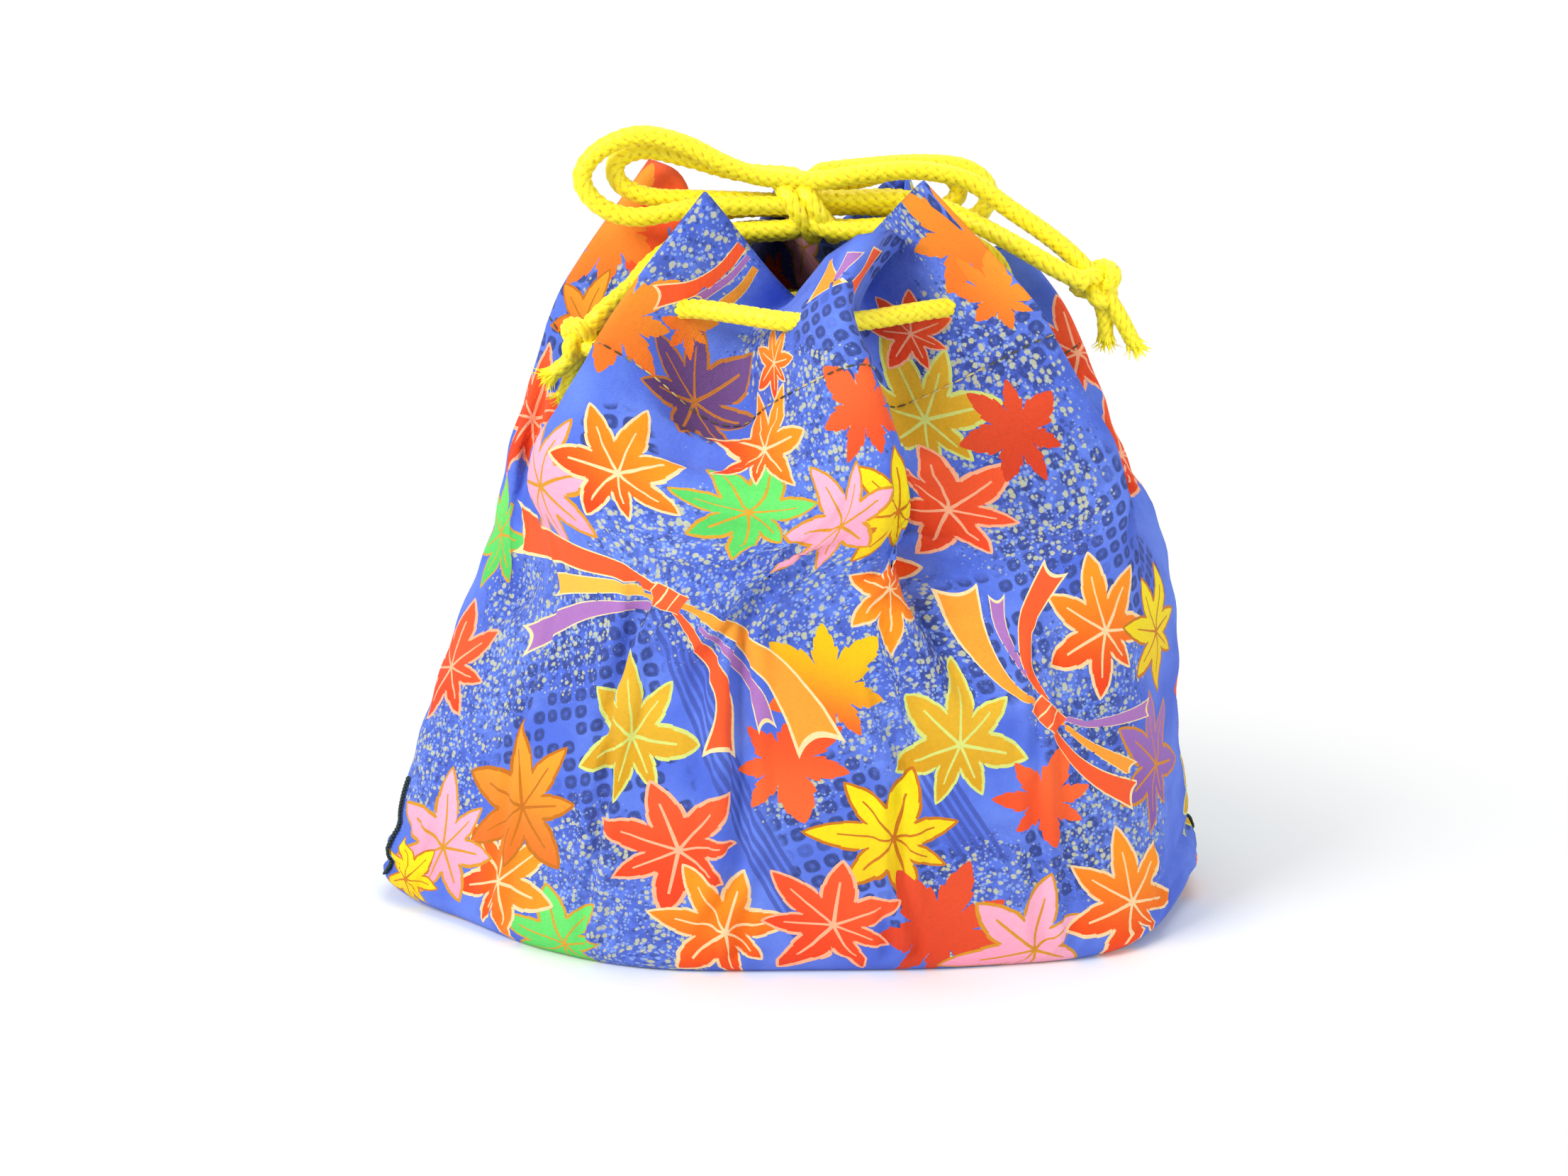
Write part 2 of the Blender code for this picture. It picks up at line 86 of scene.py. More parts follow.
# Where each fold line of the cloth runs, in drawn millimetres, from the left side round the front to the
# right and back: half way up, at the hem's stitching, at the drawcords and at the hem's edge.
FOLDS = (
    ("left_ridge", (-62, 6, 112), (-54, 8, 138), (-47, 9, 151), (-31, 14, 173)),
    ("front_left_notch", (-56, -10, 106), (-41, -8, 124), (-32, -6, 138), (-14, -4, 143)),
    ("front_left_ridge", (-55, -31, 111), (-40, -31, 138), (-32, -28, 150), (-17, -22, 169)),
    ("front_middle_left_notch", (-12, -48, 104), (-11, -30, 122), (-8, -22, 138), (3, -17, 145)),
    ("front_pleat", (21, -56, 108), (15, -55, 137), (12, -50, 148), (15, -28, 161)),
    ("front_middle_right_notch", (31, -43, 104), (24, -28, 123), (18, -20, 138), (15, -8, 154)),
    ("front_right_ridge", (77, -21, 106), (58, -27, 139), (50, -27, 150), (30, -20, 171)),
    ("front_right_notch", (66, -8, 106), (50, -6, 124), (41, -5, 138), (26, -4, 146)),
    ("right_ridge", (79, 5, 108), (69, 9, 132), (63, 9, 143), (53, 8, 155)),
    ("back_right_notch", (60, 24, 106), (45, 20, 124), (38, 17, 138), (28, 12, 150)),
    ("back_right_ridge", (50, 46, 110), (43, 48, 137), (38, 45, 149), (29, 36, 170)),
    ("back_middle_right_notch", (22, 50, 104), (18, 33, 123), (15, 25, 138), (10, 17, 157)),
    ("back_pleat", (-2, 57, 110), (-2, 55, 138), (-2, 50, 150), (-2, 32, 165)),
    ("back_middle_left_notch", (-25, 48, 104), (-20, 32, 123), (-16, 25, 138), (-8, 17, 156)),
    ("back_left_ridge", (-46, 44, 110), (-41, 44, 136), (-36, 41, 148), (-22, 33, 163)),
    ("back_left_notch", (-54, 22, 106), (-40, 18, 124), (-32, 15, 138), (-22, 9, 146)),
)
FOLD_COUNT = len(FOLDS)
LEFT_RIDGE, RIGHT_RIDGE = 0, 8
BASE_OUTLINE = (
    (-96, -6), (-74, -24), (-58, -37), (-42, -46), (-25, -49.5), (0, -50), (30, -49),
    (55, -46), (74, -41), (86, -30), (94, -14), (100, 6), (92, 24), (78, 37), (55, 45),
    (28, 49.5), (0, 50), (-30, 48), (-56, 42), (-78, 27), (-90, 10),
)
SMOOTH_ROWS = ((45, 0.885, 0.947, 1.08), (85, 0.73, 0.905, 1.10))
BASE_EDGE_RADIUS = 4
CORNER_LIFT, CORNER_CURL_HEIGHT, CORNER_REACH = 4, 20, 98
STITCH_ROW, CORD_ROW, HEM_ROW = 4, 5, 6
LEFT_CORD_ROW = 4.5
RIDGE_ROUNDNESS = (1, 1, 1, 0.8, 0.5, 0.45, 0.4)
NOTCH_ROUNDNESS = (1, 1, 1, 0.9, 0.6, 0.55, 0.5)
# The pleat at the middle of the front is a broad tongue.
FRONT_PLEAT = 4
PLEAT_ROUNDNESS = (1, 1, 1, 0.9, 0.9, 1.0, 1.0)

# How finely the cloth is woven into faces.
COLUMNS = 384
BODY_ROWS = 72
HEM_ROWS = 20
HEM_FOLD_ROWS = 18
BASE_RINGS = 8
EDGE_RINGS = 3


def spline(points, at, closed=False):
    """A smooth curve through evenly numbered points, read at the numbers at."""
    points = np.asarray(points, float)
    at = np.atleast_1d(np.asarray(at, float))
    count = len(points)
    low = np.floor(at).astype(int) if closed else np.clip(np.floor(at), 0, count - 2).astype(int)
    part = (at - low).reshape((-1,) + (1,) * (points.ndim - 1))
    if closed:
        before, start, end, after = (points[(low + k) % count] for k in (-1, 0, 1, 2))
    else:
        longer = np.concatenate([[2 * points[0] - points[1]], points, [2 * points[-1] - points[-2]]])
        before, start, end, after = (longer[low + 1 + k] for k in (-1, 0, 1, 2))
    return hermite(start, end, (end - before) / 2, (after - start) / 2, part)


def hermite(start, end, leaving, arriving, part):
    """The cubic between two points with these tangents."""
    square, cube = part**2, part**3
    return (
        (2 * cube - 3 * square + 1) * start
        + (cube - 2 * square + part) * leaving
        + (3 * square - 2 * cube) * end
        + (cube - square) * arriving
    )


def walked(points):
    """The distance along a line of points at each of them."""
    return np.concatenate([[0], np.cumsum(np.linalg.norm(np.diff(points, axis=0), axis=1))])


def respaced(points, step):
    """The same line with its points a step apart."""
    points = np.asarray(points, float)
    along = walked(points)
    at = np.linspace(0, along[-1], max(2, int(round(along[-1] / step)) + 1))
    return np.stack([np.interp(at, along, points[:, axis]) for axis in range(points.shape[1])], axis=1)


def unit(vectors):
    return vectors / np.maximum(np.linalg.norm(vectors, axis=-1, keepdims=True), 1e-12)


def placed(points):
    """Drawn millimetres in the part's own metres."""
    return (np.asarray(points, float) - DRAWN_MIDDLE) * MM


# The cloth's fold lines

def outline_points(shares, left=1.0, right=1.0, depth=1.0):
    """Points of the base outline at these shares of its length, drawn in by the three factors."""
    fine = spline(BASE_OUTLINE, np.linspace(0, len(BASE_OUTLINE), 401), True)
    along = walked(fine)
    at = np.asarray(shares) * along[-1]
    x, y = (np.interp(at, along, fine[:, axis]) for axis in range(2))
    return np.stack([np.where(x < 0, left * x, right * x), depth * y], axis=1)


def fold_net():
    """The fold lines' points, row by row, in drawn millimetres."""
    ring = np.array([fold[1 + CORD_ROW - 3] for fold in FOLDS], float)
    along = walked(np.vstack([ring, ring[:1]]))
    shares = along[:-1] / along[-1]
    rows = [np.c_[outline_points(shares), np.full(FOLD_COUNT, BASE_EDGE_RADIUS)]]
    for height, left, right, depth in SMOOTH_ROWS:
        rows.append(np.c_[outline_points(shares, left, right, depth), np.full(FOLD_COUNT, height)])
    for row in range(1, 5):
        rows.append(np.array([fold[row] for fold in FOLDS], float))
    return np.array(rows)


NET = fold_net()


# The top edge of the front pleat, which opens into a tongue: folds from its middle, and the place in drawn
# millimetres.
TONGUE = (
    (-0.70, (3, -18, 147)), (-0.38, (9, -29.5, 156)), (0.0, (15.5, -30.5, 160.5)), (0.30, (23, -26.5, 161)),
    (0.52, (26, -20, 157)), (0.75, (21, -12, 153)),
)
# How many folds from its middle the tongue still pulls at the cloth, and over how many its pull fades.
TONGUE_REACH, TONGUE_EASE = 0.95, 0.25
# Where the hem's edge stands higher than its folds alone: a number of folds round, how wide, and how far.
EDGE_LIFTS = ((0.40, 0.22, (3, -2, 6)),)
# How slowly these rise above the drawcords.
RISE_POWER = 1.6


def loft(rows, folds):
    """The cloth's drawn surface at these numbers of rows up and of folds round, as a grid."""
    surface = plain_loft(rows, folds)
    if rows[-1] <= CORD_ROW:
        return surface
    rise = np.clip(rows - CORD_ROW, 0, 1) ** RISE_POWER
    for fold, width, lift in EDGE_LIFTS:
        share = np.exp(-(((np.asarray(folds) - fold) / width) ** 2))
        surface += rise[:, None, None] * share[None, :, None] * np.array(lift, float)
    offset = np.asarray(folds) - FRONT_PLEAT
    near = np.abs(offset) < TONGUE_REACH
    if not near.any():
        return surface
    shares, places = [share for share, _ in TONGUE], np.array([place for _, place in TONGUE], float)
    edge = np.stack([np.interp(offset[near], shares, places[:, axis]) for axis in range(3)], axis=1)
    pull = edge - plain_loft(np.array([float(HEM_ROW)]), folds[near])[0]
    hold = np.clip((TONGUE_REACH - np.abs(offset[near])) / TONGUE_EASE, 0, 1)
    surface[:, near] += rise[:, None, None] * hold[None, :, None] * pull[None]
    return surface


def plain_loft(rows, folds):
    """The smooth surface through the fold lines."""
    ring = spline(NET, rows)
    low = np.floor(folds).astype(int)
    part = (folds - low)[None, :, None]
    chord = (np.roll(ring, -1, axis=1) - np.roll(ring, 1, axis=1)) / 2
    roundness = [PLEAT_ROUNDNESS if k == FRONT_PLEAT else (RIDGE_ROUNDNESS, NOTCH_ROUNDNESS)[k % 2]
                 for k in range(FOLD_COUNT)]
    turns = np.stack([np.interp(rows, range(len(NET)), turn) for turn in roundness], axis=1)
    tangent = chord * turns[:, :, None]
    start, end = low % FOLD_COUNT, (low + 1) % FOLD_COUNT
    return hermite(ring[:, start], ring[:, end], tangent[:, start], tangent[:, end], part)


def even_folds():
    """The number of folds round at each column, so that the columns are evenly spaced at the drawcords."""
    fine = np.linspace(0, FOLD_COUNT, 3201)
    ring = loft(np.array([float(CORD_ROW)]), fine)[0]
    along = walked(ring)
    return np.interp(np.arange(COLUMNS) / COLUMNS * along[-1], along, fine)


def even_rows(first, last, count):
    """The number of rows up at each row of faces, evenly spaced along the mean fold line."""
    fine = np.linspace(first, last, 200)
    rings = spline(NET, fine)
    along = np.concatenate([[0], np.cumsum(np.linalg.norm(np.diff(rings, axis=0), axis=2).mean(axis=1))])
    return np.interp(np.linspace(0, along[-1], count + 1), along, fine)


def corner_lifted(points):
    """The base's side corners curl up off the floor a little."""
    lifted = points.copy()
    reach = np.minimum(1, np.abs(points[..., 0] - DRAWN_MIDDLE[0]) / CORNER_REACH)
    fade = np.maximum(0, 1 - points[..., 2] / CORNER_CURL_HEIGHT)
    lifted[..., 2] += CORNER_LIFT * reach**8 * fade
    return lifted


# The drape: between the base and the hem the cloth hangs, a little wider than its drawn shape

CLOTH_ROUND = 0.484
# How coarse each round of the drape is, and how many steps it takes.
DRAPE_ROUNDS = ((4, 160), (2, 90), (1, 30))
# How much longer than drawn the cloth is, up and round, and how strongly the drawn shape holds it.
DRAPE_SLACK = 1.01
DRAPE_EASE = 1.010
DRAWN_PULL = 0.05
# How strongly points one or more apart hold their distance, and points that lie across a face's corner.
ROUND_PULLS = ((1, 0.9), (2, 0.35), (3, 0.25))
UP_PULLS = ((1, 0.9), (2, 0.35))
SLANT_PULL = 0.12


def every_other(start, count, reach):
    """Runs of as many numbers as the reach, with gaps as long between them, below the count."""
    return np.concatenate([np.arange(start + k, count, 2 * reach) for k in range(reach)])


def pull_together(cloth, free, first, second, rest, strength):
    """Moves pairs of points towards their rest distance."""
    a, b = cloth[first], cloth[second]
    gap = b - a
    length = np.linalg.norm(gap, axis=-1, keepdims=True)
    weight_a, weight_b = free[first][..., None], free[second][..., None]
    total = np.maximum(weight_a + weight_b, 1e-9)
    push = strength * (length - rest) / np.maximum(length, 1e-9) * gap / total
    cloth[first] = a + weight_a * push
    cloth[second] = b - weight_b * push


def drape(cloth, free, round_gap, up_gap, count, drawn):
    """Relaxes a grid of cloth, closed round and pinned where free is nought."""
    rows, columns = cloth.shape[:2]
    every = np.arange(columns)
    whole = slice(None)
    slant = np.hypot(round_gap, up_gap)
    for _ in range(count):
        cloth += (drawn - cloth) * (free * DRAWN_PULL)[..., None]
        for reach, strength in ROUND_PULLS:
            for start in range(0, 2 * reach, reach):
                index = every_other(start, columns, reach)
                other = (index + reach) % columns
                pull_together(cloth, free, (whole, index), (whole, other), reach * round_gap, strength)
        for reach, strength in UP_PULLS:
            for start in range(0, 2 * reach, reach):
                index = every_other(start, rows - reach, reach)
                pull_together(cloth, free, (index, whole), (index + reach, whole), reach * up_gap, strength)
        for lean in (1, -1):
            for start in range(2):
                index = np.arange(start, rows - 1, 2)
                first = index[:, None], every[None]
                second = index[:, None] + 1, np.roll(every, -lean)[None]
                pull_together(cloth, free, first, second, slant[index], SLANT_PULL)
    return cloth


def halved(cloth):
    """The same closed grid with a point between each two, smoothly."""
    ahead, behind, beyond = (np.roll(cloth, -k, axis=1) for k in (1, -1, 2))
    middle = (9 * (cloth + ahead) - behind - beyond) / 16
    finer = np.stack([cloth, middle], axis=2).reshape(len(cloth), -1, cloth.shape[-1])
    return spline(finer, np.arange(0, len(finer) - 0.75, 0.5))


def snug_gap(drawn):
    """Each row's gap from point to point: a little over the drawn one, but within the cloth's own."""
    gap = np.linalg.norm(np.roll(drawn, -1, axis=1) - drawn, axis=2).mean(axis=1)
    return np.minimum(gap * DRAPE_EASE, CLOTH_ROUND / drawn.shape[1])[:, None, None]


def draped_body(folds):
    """The cloth from the base's edge to the hem's stitching, relaxed from coarse to fine."""
    rows = even_rows(0, STITCH_ROW, BODY_ROWS)
    above = even_rows(STITCH_ROW, HEM_ROW, HEM_ROWS)[1:9]
    drawn = corner_lifted(loft(np.concatenate([rows, above]), folds)) * MM
    up_gap = np.linalg.norm(np.diff(drawn[: BODY_ROWS + 1], axis=0), axis=2).mean() * DRAPE_SLACK
    cloth = None
    for coarse, count in DRAPE_ROUNDS:
        target = drawn[::coarse, ::coarse]
        if cloth is None:
            cloth = target.copy()
        else:
            cloth = halved(cloth)[: len(target)]
        free = np.ones(target.shape[:2])
        free[0] = 0
        free[BODY_ROWS // coarse:] = 0
        pinned = free == 0
        cloth[pinned] = target[pinned]
        cloth = drape(cloth, free, snug_gap(target), up_gap * coarse, count, target)
    return cloth[: BODY_ROWS + 1] / MM, up_gap


def grid_normals(grid):
    """The outward direction at each point of a closed grid."""
    across = np.roll(grid, -1, axis=1) - np.roll(grid, 1, axis=1)
    up = np.gradient(grid, axis=0)
    return unit(np.cross(across, up))


HEM_GAP = 1.2
HEM_LENGTH = 35


def outer_wall():
    """The cloth's outer wall as a grid of points in drawn millimetres, with each row's flat height."""
    folds = even_folds()
    body, up_gap = draped_body(folds)
    hem = loft(even_rows(STITCH_ROW, HEM_ROW, HEM_ROWS)[1:], folds)
    heights = list(np.arange(BODY_ROWS + 1) * up_gap / MM)
    heights += [heights[-1] + HEM_LENGTH * (k + 1) / HEM_ROWS for k in range(HEM_ROWS)]
    return np.concatenate([body, hem]), np.array(heights), folds


def folded_hem(outer, heights):
    """The hem's inner layer, from the fold at the top down to the stitching, and each row's flat height."""
    normals = grid_normals(outer)
    rows = np.linspace(0.4, HEM_ROWS, HEM_FOLD_ROWS)
    top = len(outer) - 1
    inner = []
    for back in rows:
        low = int(top - back)
        part = top - back - low
        point = outer[low] * (1 - part) + outer[low + 1] * part
        normal = unit(normals[low] * (1 - part) + normals[low + 1] * part)
        inner.append(point - HEM_GAP * MM * min(1, 0.5 + back / 2) * normal)
    return np.array(inner), heights[-1] + HEM_LENGTH * MM * rows / HEM_ROWS


# Valleys in the front: the line in the photograph's pixels, how deep the cloth falls, and how wide it falls
# on the left and on the right, in millimetres.
VALLEYS = (
    (((968, 450), (985, 530), (1005, 600), (1040, 655)), 5.5, 9, 10),
    (((1400, 560), (1450, 640), (1500, 720), (1540, 800)), 1.6, 16, 14),
    (((860, 700), (900, 790), (960, 880), (1010, 960)), 1.2, 14, 14),
    (((676, 876), (716, 845), (760, 800)), 4.5, 4, 16),
    (((1130, 800), (1190, 900), (1270, 980), (1350, 1040)), 1.4, 12, 16),
    (((900, 600), (950, 640), (1000, 690)), 2.2, 9, 9),
)
# Hollows on either side of the front pleat, which run up to the hem's edge, in millimetres on the cloth.
HOLLOWS = (
    (((131, 176), (130, 160), (129, 146), (128, 132)), 8.0, 5, 7),
    (((80, 176), (81, 165), (82, 156), (83, 148)), 4.0, 6, 6),
)
# The fold below the front pleat, in which the cloth on the left lies over the cloth on the right: the line
# on the flat cloth, how far the right side falls back, how far it turns in, and the widths, in millimetres.
OVERLAP = ((126, 146), (126, 130), (127, 115), (131, 100), (139, 85), (148, 68), (156, 55))
OVERLAP_DEPTH, OVERLAP_TURN, OVERLAP_WIDTH, OVERLAP_REACH = 13.0, 5.5, 4.0, 15
# Faint waves all over: length round the cloth in metres, lean and phase.
WAVES = ((0.041, 0.9, 0.3), (0.067, -0.6, 1.7), (0.031, 2.2, 4.1), (0.053, 1.4, 2.6))
WAVE_HEIGHT = 0.00025


class Pouch:
    """The cloth's shape, which the print, the stitches and the seams are laid on."""

    def __init__(self):
        outer, heights, self.folds = outer_wall()
        self.strip = self.outer = placed(outer)
        self.heights = heights * MM
        self.columns = np.arange(COLUMNS + 1) / COLUMNS * CLOTH_ROUND
        self.find_faces()
        self.crease()
        hem, hem_heights = folded_hem(self.outer, self.heights)
        self.strip = np.concatenate([self.outer, hem])
        self.heights = np.concatenate([self.heights, hem_heights])
        self.find_faces()
        self.normals = grid_normals(self.outer)

    def find_faces(self):
        quads = self.quads(len(self.strip))
        self.tree = BVHTree.FromPolygons(self.strip.reshape(-1, 3).tolist(), quads.tolist())

    def crease(self):
        """Presses the creases into the walls, and lets the cloth between them wave a little."""
        body = self.outer
        normals = grid_normals(body)
        flat = np.stack(np.broadcast_arrays(self.columns[None, :-1], self.heights[:, None]), axis=-1)
        move = np.zeros_like(body)
        calm = np.clip((BODY_ROWS + 12 - np.arange(len(body))) / 12, 0, 1)[:, None]
        for pixels, depth, left_width, right_width in VALLEYS:
            line = [place for place in map(self.flat_place, pixels) if place is not None]
            if len(line) > 2:
                side, fade = self.beside(flat, np.array(line))
                width = np.where(side > 0, right_width, left_width)
                move -= (depth * MM * np.exp(-((side / width) ** 2)) * fade * calm)[..., None] * normals
        back, right = np.array((0, 1, 0)), np.array((1, 0, 0))
        for line, depth, left_width, right_width in HOLLOWS:
            side, fade = self.beside(flat, np.array(line) * MM)
            width = np.where(side > 0, right_width, left_width)
            move += (depth * MM * np.exp(-((side / width) ** 2)) * fade)[..., None] * back
        side, fade = self.beside(flat, np.array(OVERLAP) * MM)
        share = side / OVERLAP_WIDTH
        fall = (1 + np.tanh(2.4 * share)) / 2 * np.exp(-((np.maximum(side, 0) / OVERLAP_REACH) ** 2))
        move += (OVERLAP_DEPTH * MM * fall * fade * calm)[..., None] * back
        turned = -share * np.exp(0.5 - share**2 / 2) * np.where(share < 0, 0.15, 1)
        move += (OVERLAP_TURN * MM * turned * fade * calm)[..., None] * right
        turn = 2 * np.pi / CLOTH_ROUND
        up = flat[..., 1]
        still = np.clip(up / 0.03, 0, 1) * np.clip((self.heights[BODY_ROWS] - up) / 0.02, 0, 1)
        for length, lean, phase in WAVES:
            count = max(1, round(CLOTH_ROUND / length))
            wave = np.sin(flat[..., 0] * turn * count + up * (lean * 2 * np.pi / length) + phase)
            move += (WAVE_HEIGHT * wave * still)[..., None] * normals
        body += move

    @staticmethod
    def beside(flat, line):
        """How far right of a line on the flat cloth each place is, and a share that fades at its ends."""
        line = respaced(spline(line, np.linspace(0, len(line) - 1, 50)), 0.002)
        gap = round_gap(flat[:, :, None] - line[None, None])
        nearest = np.linalg.norm(gap, axis=-1).argmin(axis=2)
        off = np.take_along_axis(gap, nearest[..., None, None], axis=2)[:, :, 0]
        way = unit(np.gradient(line, axis=0))[nearest]
        side = (off[..., 1] * way[..., 0] - off[..., 0] * way[..., 1]) / MM
        end = np.abs((off * way).sum(-1)) / MM
        along = np.clip(nearest / len(line) * 0.8 + 0.2, 0, 1)
        return side, np.exp(-((end / 9) ** 2)) * np.sin(np.pi * along)

    @staticmethod
    def quads(rows):
        """The faces of a closed grid, each as its four corners from the lower left."""
        low = np.arange(rows - 1)[:, None] * COLUMNS
        column = np.arange(COLUMNS)[None]
        following = (column + 1) % COLUMNS
        corners = (low + column, low + following, low + COLUMNS + following, low + COLUMNS + column)
        return np.stack(np.broadcast_arrays(*corners), axis=-1).reshape(-1, 4)

    def flat_place(self, pixel):
        """Where on the flat cloth a pixel of the photograph falls, or None."""
        eye, ray = pixel_ray(pixel)
        spot, _, face, _ = self.tree.ray_cast(Vector(eye), Vector(ray))
        if spot is None:
            return None
        row, column = divmod(face, COLUMNS)
        corner = self.strip[row, column]
        across = self.strip[row, (column + 1) % COLUMNS] - corner
        up = self.strip[row + 1, column] - corner
        offset = np.array(spot) - corner
        right = float(np.clip(offset @ across / (across @ across), 0, 1))
        above = float(np.clip(offset @ up / (up @ up), 0, 1))
        return np.array((
            (column + right) / COLUMNS * CLOTH_ROUND,
            self.heights[row] * (1 - above) + self.heights[row + 1] * above,
        ))


def camera_axes():
    """The camera's place and its right, up and forward directions."""
    low, high = math.sin(CAMERA_ELEVATION), math.cos(CAMERA_ELEVATION)
    right, up, forward = np.array((1, 0, 0)), np.array((0, low, high)), np.array((0, high, -low))
    return placed(CAMERA_TARGET) - CAMERA_DISTANCE * forward, right, up, forward


def pixel_ray(pixel):
    """The line of sight through a pixel of the photograph."""
    eye, right, up, forward = camera_axes()
    focal = PHOTO_WIDTH * LENS / SENSOR
    x, y = pixel
    ray = forward + (x - PHOTO_WIDTH / 2) / focal * right - (y - PHOTO_HEIGHT / 2) / focal * up
    return eye, ray / np.linalg.norm(ray)


# The print: leaves, ribbons, dots and speckle, laid out on the flat cloth

# Leaf styles, in order: the colour at the leaf's tip, the colour at its foot, and its lines. The last four
# are plain leaves with jagged edges and no lines.
LEAF_STYLES = {
    "sunset": ((255, 150, 28), (244, 70, 22), (250, 214, 160)),
    "red": ((250, 90, 44), (236, 68, 30), (255, 180, 140)),
    "orange": ((250, 160, 42), (238, 112, 36), (196, 112, 22)),
    "gold": ((228, 178, 46), (214, 158, 26), (214, 222, 120)),
    "yellow": ((250, 226, 20), (238, 200, 26), (202, 118, 28)),
    "green": ((110, 226, 110), (86, 202, 96), (216, 160, 48)),
    "pink": ((250, 178, 202), (250, 160, 190), (216, 148, 40)),
    "purple": ((160, 112, 188), (134, 90, 170), (212, 136, 44)),
    # The next style is the purple style's colours darkened, as painted shade for the one leaf that lies in
    # the hollow left of the front pleat.
    "plum": ((112, 78, 134), (92, 62, 112), (190, 118, 50)),
    "plain_red": ((250, 104, 50), (240, 82, 38), (250, 104, 50)),
    "plain_dark": ((230, 80, 42), (218, 66, 34), (230, 80, 42)),
    "plain_glow": ((240, 196, 16), (250, 92, 36), (240, 196, 16)),
    "plain_orange": ((246, 150, 46), (246, 116, 38), (246, 150, 46)),
}
STYLE_NAMES = list(LEAF_STYLES)
FIRST_PLAIN = STYLE_NAMES.index("plain_red")
LEAF_RADIUS = 18.2
LEAF_LAYERS = 7

# Each leaf that the front shows: its style, its middle in the photograph's pixels, how far its tip is turned
# to the left in degrees, and its size. Later leaves lie over earlier ones.
FRONT_LEAVES = (
    ("plain_glow", (1172, 973), 5, 0.92),
    ("plain_red", (1106, 1073), 200, 0.85),
    ("green", (797, 1330), 20, 0.9),
    ("green", (708, 752), 60, 0.85),
    ("green", (575, 1062), 90, 0.8),
    ("green", (1648, 774), 10, 0.8),
    # This leaf's darker colours are painted shade for the hollow it lies in.
    ("plum", (984, 568), 10, 0.80),
    ("sunset", (1092, 512), 15, 0.50),
    ("plain_orange", (972, 462), 0, 0.40),
    ("green", (1056, 724), -25, 0.92),
    ("sunset", (1078, 634), -35, 0.85),
    ("yellow", (1266, 722), 0, 0.85),
    ("pink", (1184, 744), 40, 0.92),
    ("plain_red", (1222, 575), 40, 0.70),
    ("gold", (1305, 592), 4, 1.1),
    ("sunset", (1256, 830), 185, 0.84),
    ("red", (1338, 719), -5, 1.12),
    ("plain_dark", (1438, 608), 35, 0.72),
    ("red", (1582, 641), -20, 1.05),
    ("sunset", (1560, 890), 12, 1.05),
    ("yellow", (1631, 890), 25, 1.0),
    ("purple", (1631, 1078), 5, 1.1),
    ("gold", (890, 1040), 12, 1.12),
    ("gold", (1355, 1051), 0, 1.03),
    ("yellow", (1261, 1183), 35, 1.12),
    ("sunset", (702, 1244), -50, 1.12),
    ("orange", (736, 1139), 22, 1.22),
    ("pink", (625, 1195), 12, 1.1),
    ("red", (957, 1200), 20, 1.12),
    ("sunset", (1023, 1316), 30, 1.1),
    ("plain_dark", (1327, 1316), -15, 1.05),
    ("red", (1176, 1305), -12, 1.0),
    ("pink", (1460, 1340), -10, 1.1),
    ("sunset", (1598, 1272), 5, 1.12),
    ("plain_red", (1477, 1134), -20, 0.78),
    ("yellow", (572, 1240), 20, 0.7),
    ("red", (636, 940), 10, 1.05),
    ("plain_orange", (1362, 336), 25, 0.80),
    ("plain_orange", (1410, 420), -40, 0.60),
    ("plain_orange", (872, 450), 30, 0.92),
    ("plain_red", (925, 258), 15, 1.25),
    ("plain_orange", (866, 330), 70, 0.8),
    ("orange", (826, 458), 20, 0.70),
    ("red", (752, 590), 10, 1.1),
    ("pink", (763, 686), 30, 1.1),
    ("sunset", (872, 668), -10, 0.88),
    ("red", (1521, 498), -15, 1.05),
    ("red", (1286, 470), -30, 0.60),
)
# The rest of the print: the tries and the least gap of its leaves, in millimetres, how far it keeps from the
# front's leaves, in metres, and how many clouds it has round the cloth and up it.
SCATTER_SEED = 4
SCATTER_TRIES = 2600
SCATTER_GAP = 28
FRONT_GAP = 0.036
CLOUDS_ROUND, CLOUDS_UP = 14, 7
SIDE_STYLES = (
    "sunset", "red", "gold", "pink", "plain_red", "orange", "purple", "yellow", "green", "red",
    "plain_glow", "sunset", "gold", "plain_dark", "plain_orange",
)

